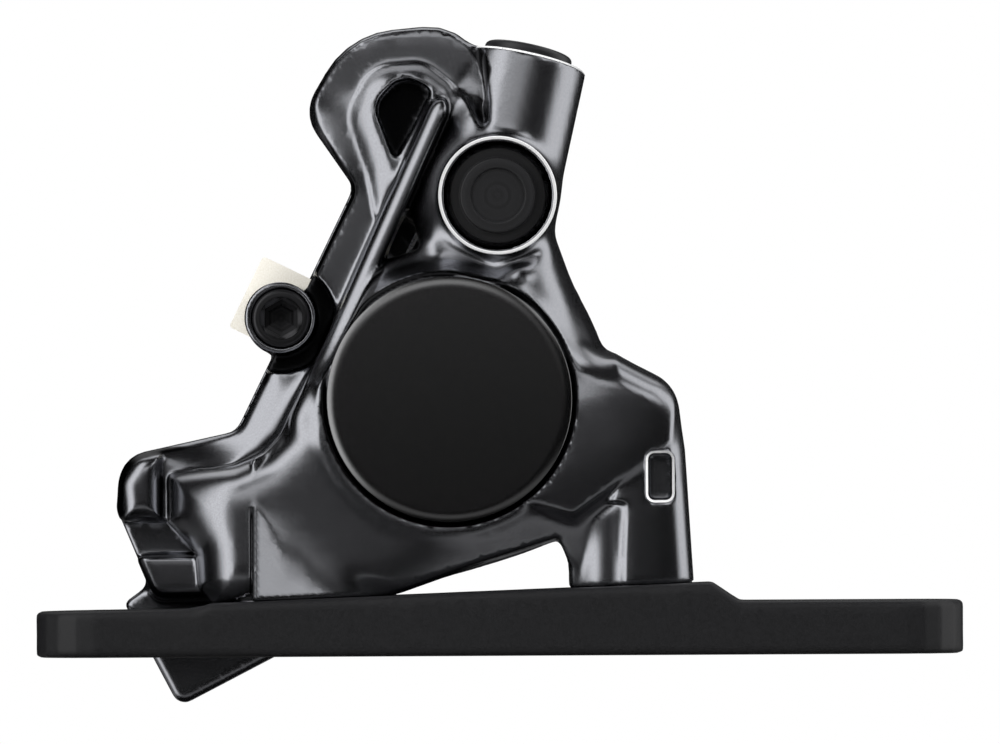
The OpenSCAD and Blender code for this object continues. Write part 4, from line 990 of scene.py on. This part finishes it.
axle_bolt = turned("axle_bolt", [
    (0, -22.7), (1.6, -22.7), (1.9, -22.4), (1.9, -21.95), (1.4, -21.95), (1.4, -21.3), (1.9, -21.3),
    (1.9, -3), *axle_thread, (2.2, 0), (2.65, 0), *arc(2.25, 2.2, 0.4),
    (1.95, 2.6), (1.6, 2.38, 6), (1.5, 2.3, 6), (1.5, 0.5, 6), (0, 0.2),
], (axle_at[0], ROTOR_Y - AXLE_SEAT, axle_at[1]), OUT)
fit(axle_bolt, "caliper", black_steel, "axle_black", "pad_axle")

bleed_port_ring = turned("bleed_port_ring", [
    (5.12, 14.6), (5.42, 14.6), (5.42, 16.2), (5.36, 16.3), (5.18, 16.3), (5.12, 16.24),
], (BLEED[0], ROTOR_Y, BLEED[1]), OUT, closed=True)
fit(bleed_port_ring, "caliper", bare_metal, "spring_steel")

hose_port_rim = turned("hose_port_rim", [
    (5.5, -0.3), (5.3, -0.1), (4.9, -0.1), (4.9, -0.3),
], hose_top, hose_way, closed=True)
fit(hose_port_rim, "caliper", bare_metal, "spring_steel")

# %% [markdown]
# The window beside the right bolt has a milled bevel. A Bevel modifier would have to find its edge
# among two hundred thousand others, so the bevel is a piece of its own: a loop of three-sided section
# that lies in the recess left for it in the body.

# %% Window rim
def window_bevel():
    """Loop along the window's outline, level with the front face."""
    bm = bmesh.new()
    lathe = bm.verts.layers.float.new("lathe")
    ahead, behind = np.roll(window_line, -1, axis=0), np.roll(window_line, 1, axis=0)
    away = np.stack([ahead[:, 1] - behind[:, 1], behind[:, 0] - ahead[:, 0]], 1)
    away /= np.linalg.norm(away, axis=1, keepdims=True)
    loops = []
    for p, n in zip(window_line, away):
        outer = p + n * RIM_W
        face = FRONT_D - leg_turn(outer[0]) + FRONT_LEAN * (FRONT_LEAN_Z - outer[1])
        section = ((outer, face + 0.02), (p, face - RIM_W), (outer, face - RIM_W))
        loops.append([bm.verts.new(Vector((q[0], ROTOR_Y - d, q[1])) * MM) for q, d in section])
        for v, run in zip(loops[-1], (0, 0.6, 1)):
            v[lathe] = run
    for a, b in zip(loops, loops[1:] + loops[:1]):
        for i in range(3):
            bm.faces.new((a[i], b[i], b[(i + 1) % 3], a[(i + 1) % 3]))
    return finished("window_rim", bm, 40)


fit(window_bevel(), "caliper", bare_metal, "spring_steel")

# %% [markdown]
# ## Plate
# The plate is milled from bar, tumbled and coated, so its edges are soft but its faces are flat.
# A box with Boolean and Bevel modifiers would do for most of it, but a bevel stops short at the counterbores.
# A distance with eased edges goes round all of them.

# %% Plate
PLATE_HALF, PLATE_WIDE, PLATE_R = 42.5, 7.5, 5.5
FORK_X, FORK_HOLE_R, FORK_HEAD_R, FORK_HEAD_DEEP = 35, 3.1, 5, 1.6
LEFT_TOP, RIGHT_TOP = 4.2, 4.9  # heights of the two ends
BOLT_SEAT, BOLT_HOLE_R, BOLT_HEAD_R = 3.0, 2.75, 4.4
CLIP_Z, CLIP_GROOVE_R, CLIP_GROOVE_HALF = 0.58, 4.9, 0.36


def plate():
    """Bar with the fork bolts' counterbores from above, and the caliper bolts' from below."""
    g = Field((-43.5, -8.5, -1), (43.5, 8.5, 8), STEP)
    ends = ((-1, -1), (1, -1), (1, 1), (-1, 1))
    plan = rounded([(x * PLATE_HALF, y * PLATE_WIDE, PLATE_R) for x, y in ends])
    side = rounded([
        (-PLATE_HALF, 0, 0.4), (PLATE_HALF, 0, 0.4), (PLATE_HALF, RIGHT_TOP, 0.5), (21.95, RIGHT_TOP, 1),
        (*SEAT_RIGHT, 1), (*SEAT_LEFT, 0), (-27.7, 4.4, 0.5), (-PLATE_HALF, LEFT_TOP, 0.5),
    ])
    solid = both(outline(g.x, g.y, plan), outline(g.x, g.z, side), 0.8)
    for x, top in ((-FORK_X, LEFT_TOP), (FORK_X, RIGHT_TOP)):
        out = np.hypot(g.x - x, g.y)
        solid = cut(solid, out - FORK_HOLE_R, 0.3)
        solid = cut(solid, np.maximum(out - FORK_HEAD_R, top - FORK_HEAD_DEEP - g.z), 0.3)
    for x in BOLT_XS:
        out = np.hypot(g.x - x, g.y)
        solid = cut(solid, out - BOLT_HOLE_R, 0.2)
        solid = cut(solid, np.maximum(out - BOLT_HEAD_R, g.z - BOLT_SEAT), 0.3)
        solid = cut(solid, np.maximum(out - CLIP_GROOVE_R, np.abs(g.z - CLIP_Z) - CLIP_GROOVE_HALF), 0.1)
    return mesh_from("fork_plate", g, solid, thin=0.01)


fit(plate(), "caliper", plate_coat, "plate_black", "mount_plate")

# %% [markdown]
# ## Bolts and their clips
# Two bolts come up through the plate into the feet, each kept by a snap ring. What repeats is made by
# Geometry Nodes: points carry the places and the lengths, and a tree puts one shape on each.
# Every tree ends in the same way, with real copies that have their finish, because an export drops instances.

# %% Node helpers
def new_tree(name, sockets):
    """Empty tree with one input for each (label, kind), its input node and its output node."""
    tree = bpy.data.node_groups.new(name, "GeometryNodeTree")
    tree.interface.new_socket("Geometry", in_out="INPUT", socket_type="NodeSocketGeometry")
    for label, kind in sockets:
        tree.interface.new_socket(label, in_out="INPUT", socket_type="NodeSocket" + kind)
    tree.interface.new_socket("Geometry", in_out="OUTPUT", socket_type="NodeSocketGeometry")
    return tree, tree.nodes.new("NodeGroupInput"), tree.nodes.new("NodeGroupOutput")


def put_on_points(tree, given, instance):
    """Node that sets an instance on each of the given points."""
    put_on = tree.nodes.new("GeometryNodeInstanceOnPoints")
    link(tree, given.outputs["Geometry"], put_on.inputs["Points"])
    link(tree, instance, put_on.inputs["Instance"])
    return put_on


def close_tree(tree, given, made, geometry):
    """Makes the copies real, gives them their finish and hands them out."""
    real = tree.nodes.new("GeometryNodeRealizeInstances")
    paint = tree.nodes.new("GeometryNodeSetMaterial")
    link(tree, geometry, real.inputs["Geometry"])
    link(tree, real.outputs["Geometry"], paint.inputs["Geometry"])
    link(tree, given.outputs["Finish"], paint.inputs["Material"])
    link(tree, paint.outputs["Geometry"], made.inputs["Geometry"])


def grown(name, points, tree, values):
    """Plain mesh of what a tree makes from points; values go to the tree's inputs by identifier."""
    mesh = bpy.data.meshes.new(name)
    mesh.from_pydata([Vector(p[:3]) * MM for p in points], [], [])
    span = mesh.attributes.new("span", "FLOAT", "POINT")
    span.data.foreach_set("value", [p[3] for p in points])
    piece = bpy.data.objects.new(name, mesh)
    bpy.context.scene.collection.objects.link(piece)
    maker = piece.modifiers.new("maker", "NODES")
    maker.node_group = tree
    for item in tree.interface.items_tree:
        if item.in_out == "INPUT" and item.name in values:
            maker[item.identifier] = values[item.name]
    graph = bpy.context.evaluated_depsgraph_get()
    made = bpy.data.meshes.new_from_object(piece.evaluated_get(graph))
    piece.modifiers.clear()
    piece.data = made
    made.name = name
    print(name, len(made.polygons), "faces")
    return piece


# %% [markdown]
# A bolt is a head with a key's socket and a threaded shank. The shank is turned one unit long,
# and the tree stretches it to the length that its point carries, so both bolts reach into their own foot.
# A Mirror or Array modifier could place two bolts, but not two lengths.

# %% Bolts
BOLT_REACH = 5.5
SHANK_ROWS = 20
bolt_places = [(x, 0, BOLT_SEAT, seat(x) + BOLT_REACH - BOLT_SEAT) for x in BOLT_XS]
shank_thread = [(2.5 - 0.25 * (i % 2), 0.05 + i * 0.9 / SHANK_ROWS) for i in range(SHANK_ROWS)]
head = turned("bolt_head", [
    (0, -0.6), (2.0, -0.6, 6), (2.0, -1.8, 6), (2.3, -2.0), (3.8, -2.0),
    *arc(3.8, -1.6, 0.4, -90, 0), (4.2, 0), (0, 0),
], (0, 0, 0), (0, 0, 1))
shank = turned("bolt_shank", [
    (0, -0.02), (2.4, -0.02), *shank_thread, (2.1, 1), (0, 1),
], (0, 0, 0), (0, 0, 1))
shank.data.transform(Matrix.Diagonal((1, 1, 1 / MM, 1)))


def bolt_tree():
    """Head and shank on each point; the shank is stretched by the point's span."""
    tree, given, made = new_tree("bolts", (("Head", "Object"), ("Shank", "Object"), ("Finish", "Material")))
    joined = tree.nodes.new("GeometryNodeJoinGeometry")
    placed = {}
    for label in ("Head", "Shank"):
        shape = tree.nodes.new("GeometryNodeObjectInfo")
        link(tree, given.outputs[label], shape.inputs["Object"])
        placed[label] = put_on_points(tree, given, shape.outputs["Geometry"])
        link(tree, placed[label].outputs["Instances"], joined.inputs["Geometry"])
    span = tree.nodes.new("GeometryNodeInputNamedAttribute")
    span.inputs["Name"].default_value = "span"
    longer = tree.nodes.new("ShaderNodeMath")
    longer.operation = "MULTIPLY"
    longer.inputs[1].default_value = MM
    size = tree.nodes.new("ShaderNodeCombineXYZ")
    size.inputs["X"].default_value = size.inputs["Y"].default_value = 1
    link(tree, span.outputs["Attribute"], longer.inputs[0])
    link(tree, longer.outputs[0], size.inputs["Z"])
    link(tree, size.outputs["Vector"], placed["Shank"].inputs["Scale"])
    close_tree(tree, given, made, joined.outputs["Geometry"])
    return tree


caliper_bolts = grown("caliper_bolts", bolt_places, bolt_tree(), {
    "Head": head, "Shank": shank, "Finish": bolt_steel})
for helper in (head, shank):
    bpy.data.objects.remove(helper)
fit(caliper_bolts, "caliper", bolt_steel, "bolt_steel", "plate_bolts")

# %% [markdown]
# A clip is round wire bent to an open ring. It sits in a groove of the plate under the bolt's head.
# A curve with a bevel would give that too. In the tree the ring, the wire and the gap stay inputs,
# and one arc serves both bolts.

# %% Bolt clips
CLIP_R, CLIP_WIRE, CLIP_SWEEP, CLIP_START = 4.35, 0.3, 316, 22


def clip_tree():
    """Open ring of wire on each point."""
    tree, given, made = new_tree("clips", (
        ("Radius", "Float"), ("Wire", "Float"), ("Sweep", "Float"), ("Finish", "Material")))
    bow = tree.nodes.new("GeometryNodeCurveArc")
    bow.inputs["Resolution"].default_value = 48
    bow.inputs["Start Angle"].default_value = math.radians(CLIP_START)
    wire = tree.nodes.new("GeometryNodeCurvePrimitiveCircle")
    wire.inputs["Resolution"].default_value = 12
    tube = tree.nodes.new("GeometryNodeCurveToMesh")
    tube.inputs["Fill Caps"].default_value = True
    link(tree, given.outputs["Radius"], bow.inputs["Radius"])
    link(tree, given.outputs["Sweep"], bow.inputs["Sweep Angle"])
    link(tree, given.outputs["Wire"], wire.inputs["Radius"])
    link(tree, bow.outputs["Curve"], tube.inputs["Curve"])
    link(tree, wire.outputs["Curve"], tube.inputs["Profile Curve"])
    put_on = put_on_points(tree, given, tube.outputs["Mesh"])
    close_tree(tree, given, made, put_on.outputs["Instances"])
    return tree


bolt_clips = grown("bolt_clips", [(x, 0, CLIP_Z, 0) for x in BOLT_XS], clip_tree(), {
    "Radius": CLIP_R * MM, "Wire": CLIP_WIRE * MM, "Sweep": math.radians(CLIP_SWEEP), "Finish": spring_sheet})
bolt_clips.data.shade_smooth()
fit(bolt_clips, "caliper", spring_sheet, "bolt_steel", "plate_bolt_clips")

# %% [markdown]
# ## Studio
# The picture's background is plain white. The world could simply be white, but then it would also flood
# the matt pieces with light. A Light Path node tells the rays apart: the camera and mirrors see full white,
# and only a part of it counts as light.

# %% World
AMBIENT = 0.35

scene = bpy.context.scene
scene.view_settings.view_transform = "Standard"
world = bpy.data.worlds.new("studio")
scene.world = world
world.use_nodes = True
tree = world.node_tree
path = tree.nodes.new("ShaderNodeLightPath")
sees_white = path.outputs["Is Camera Ray"]
for ray in ("Is Glossy Ray", "Is Transmission Ray"):
    either = tree.nodes.new("ShaderNodeMath")
    either.operation = "MAXIMUM"
    link(tree, sees_white, either.inputs[0])
    link(tree, path.outputs[ray], either.inputs[1])
    sees_white = either.outputs[0]
strength = tree.nodes.new("ShaderNodeMapRange")
strength.inputs["To Min"].default_value = AMBIENT
strength.inputs["To Max"].default_value = 1.0
back = tree.nodes["Background"]
back.inputs["Color"].default_value = (1, 1, 1, 1)
link(tree, sees_white, strength.inputs["Value"])
link(tree, strength.outputs["Result"], back.inputs["Strength"])
print("world: white to the camera,", AMBIENT, "as light")

# %% [markdown]
# Dark satin metal shows what stands around it more than it shows lamps. A photographer would build a tent
# of white sheets and black cards, and so a sphere of panels surrounds the object here: almost black
# towards the camera, bright at both sides, with smaller panels above. Azimuth 0 is towards the camera,
# negative at its left.

# %% Tent panels
def panel(x, rise, full, falls, gone):
    """1 from full to falls, softly down to 0 at rise and at gone."""
    return ease(x, rise, full) * (1 - ease(x, falls, gone))


def tent_light(spots):
    """Brightness of the tent at spots on a sphere of radius 1; angles in degrees."""
    az = np.degrees(np.arctan2(spots[:, 0], -spots[:, 1]))
    el = np.degrees(np.arcsin(spots[:, 2]))
    light = 0.006 + 0.12 * panel(el, -3, 9, 14, 30) * (1 - ease(np.abs(az), 14, 34))
    light += 0.2 * panel(el, -16, -28, -34, -44)
    light += 1.4 * panel(az, -90, -58, -42, -22) * panel(el, -40, -15, 62, 76)
    light += 1.15 * panel(az, 62, 82, 108, 134) * panel(el, -40, -15, 60, 74)
    above_left = 0.75 * panel(az, -60, -40, 2, 28) * panel(el, 10, 24, 34, 46)
    above_right = 1.15 * panel(az, 31, 40, 56, 70) * panel(el, 20, 30, 42, 50)
    behind = 0.9 * ease(np.abs(az), 120, 150) * panel(el, 30, 42, 60, 75)
    return np.maximum.reduce([light, above_left, above_right, behind])


towards_camera = tent_light(np.array([(0.0, -1.0, 0.0)]))[0]
print("tent towards the camera:", round(float(towards_camera), 3))

# %% [markdown]
# The sphere carries that brightness as an attribute, and its material glows by it. Only mirrors see it:
# it lights nothing matt, throws no shadow and hides from the camera.

# %% Tent
CENTRE = Vector((0, 6, 28)) * MM
TENT_R = 900 * MM
TENT_ROWS, TENT_COLS = 48, 96

rises = np.linspace(-math.pi / 2, math.pi / 2, TENT_ROWS + 1)
turns = np.linspace(0, 2 * math.pi, TENT_COLS, endpoint=False)
ring = np.array([
    (math.cos(e) * math.sin(a), -math.cos(e) * math.cos(a), math.sin(e)) for e in rises for a in turns
])
faces = []
for r in range(TENT_ROWS):
    for c in range(TENT_COLS):
        here, beside = r * TENT_COLS + c, r * TENT_COLS + (c + 1) % TENT_COLS
        faces.append((here, here + TENT_COLS, beside + TENT_COLS, beside))
mesh = bpy.data.meshes.new("tent")
mesh.from_pydata((ring * TENT_R + np.array(CENTRE)).tolist(), [], faces)
glow = mesh.attributes.new("panel", "FLOAT", "POINT")
glow.data.foreach_set("value", tent_light(ring).astype(np.float32))
mesh.shade_smooth()
tent = bpy.data.objects.new("tent", mesh)
scene.collection.objects.link(tent)

panels = bpy.data.materials.new("tent panels")
panels.use_nodes = True
panels.cycles.emission_sampling = "NONE"
tree = panels.node_tree
tree.nodes.clear()
out = tree.nodes.new("ShaderNodeOutputMaterial")
emit = tree.nodes.new("ShaderNodeEmission")
bright = tree.nodes.new("ShaderNodeAttribute")
bright.attribute_name = "panel"
link(tree, bright.outputs["Fac"], emit.inputs["Strength"])
link(tree, emit.outputs["Emission"], out.inputs["Surface"])
mesh.materials.append(panels)
for flag in ("visible_camera", "visible_diffuse", "visible_shadow"):
    setattr(tent, flag, False)
print("tent of", len(faces), "faces")

# %% [markdown]
# The floor is a plain pale disc below the lowest point of the body. It lies under the picture's lower edge
# in the side view and gives the other views a ground with a shadow. A larger plane would show its edge
# in the picture. A little glow for the camera alone brings it close to white.

# %% Floor
FLOOR_Z, FLOOR_R, FLOOR_GLOW = -9.5, 90, 0.25

bpy.ops.mesh.primitive_circle_add(
    vertices=128, radius=FLOOR_R * MM, fill_type="NGON", location=(0, 0, FLOOR_Z * MM))
floor = bpy.context.object
floor.name = "floor"
pale = finish(
    "pale floor", (0.8, 0.8, 0.8), (0.84, 0.84, 0.84), 4, (0.75, 0.85), 0.02, Emission_Color=(1, 1, 1, 1))
tree = pale.node_tree
seen = tree.nodes.new("ShaderNodeLightPath")
lift = tree.nodes.new("ShaderNodeMath")
lift.operation = "MULTIPLY"
lift.inputs[1].default_value = FLOOR_GLOW
link(tree, seen.outputs["Is Camera Ray"], lift.inputs[0])
link(tree, lift.outputs[0], tree.nodes["Principled BSDF"].inputs["Emission Strength"])
dress(floor, pale)
floor.visible_glossy = False
print("floor at", FLOOR_Z, "mm")

# %% [markdown]
# Three broad lamps light what is matt: rubber, plate and pads. Point lamps would throw hard shadows
# on such small pieces. Metal doesn't mirror the lamps, because the tent is there for that.

# %% Lamps
def lamp(name, place, size, power):
    """Square area lamp at a place counted from the object's middle, in metres, that faces it."""
    data = bpy.data.lights.new(name, "AREA")
    data.size = size
    data.energy = power
    obj = bpy.data.objects.new(name, data)
    obj.location = CENTRE + Vector(place)
    obj.rotation_mode = "QUATERNION"
    obj.rotation_quaternion = Vector(place).to_track_quat("Z", "Y")
    obj.visible_camera = False
    obj.visible_glossy = False
    scene.collection.objects.link(obj)
    print(name, power, "W")


lamp("left softbox", (-0.6, -0.45, 0.35), 0.5, 6)
lamp("right softbox", (0.6, -0.35, 0.3), 0.5, 5)
lamp("top softbox", (0, -0.1, 0.75), 0.6, 5)
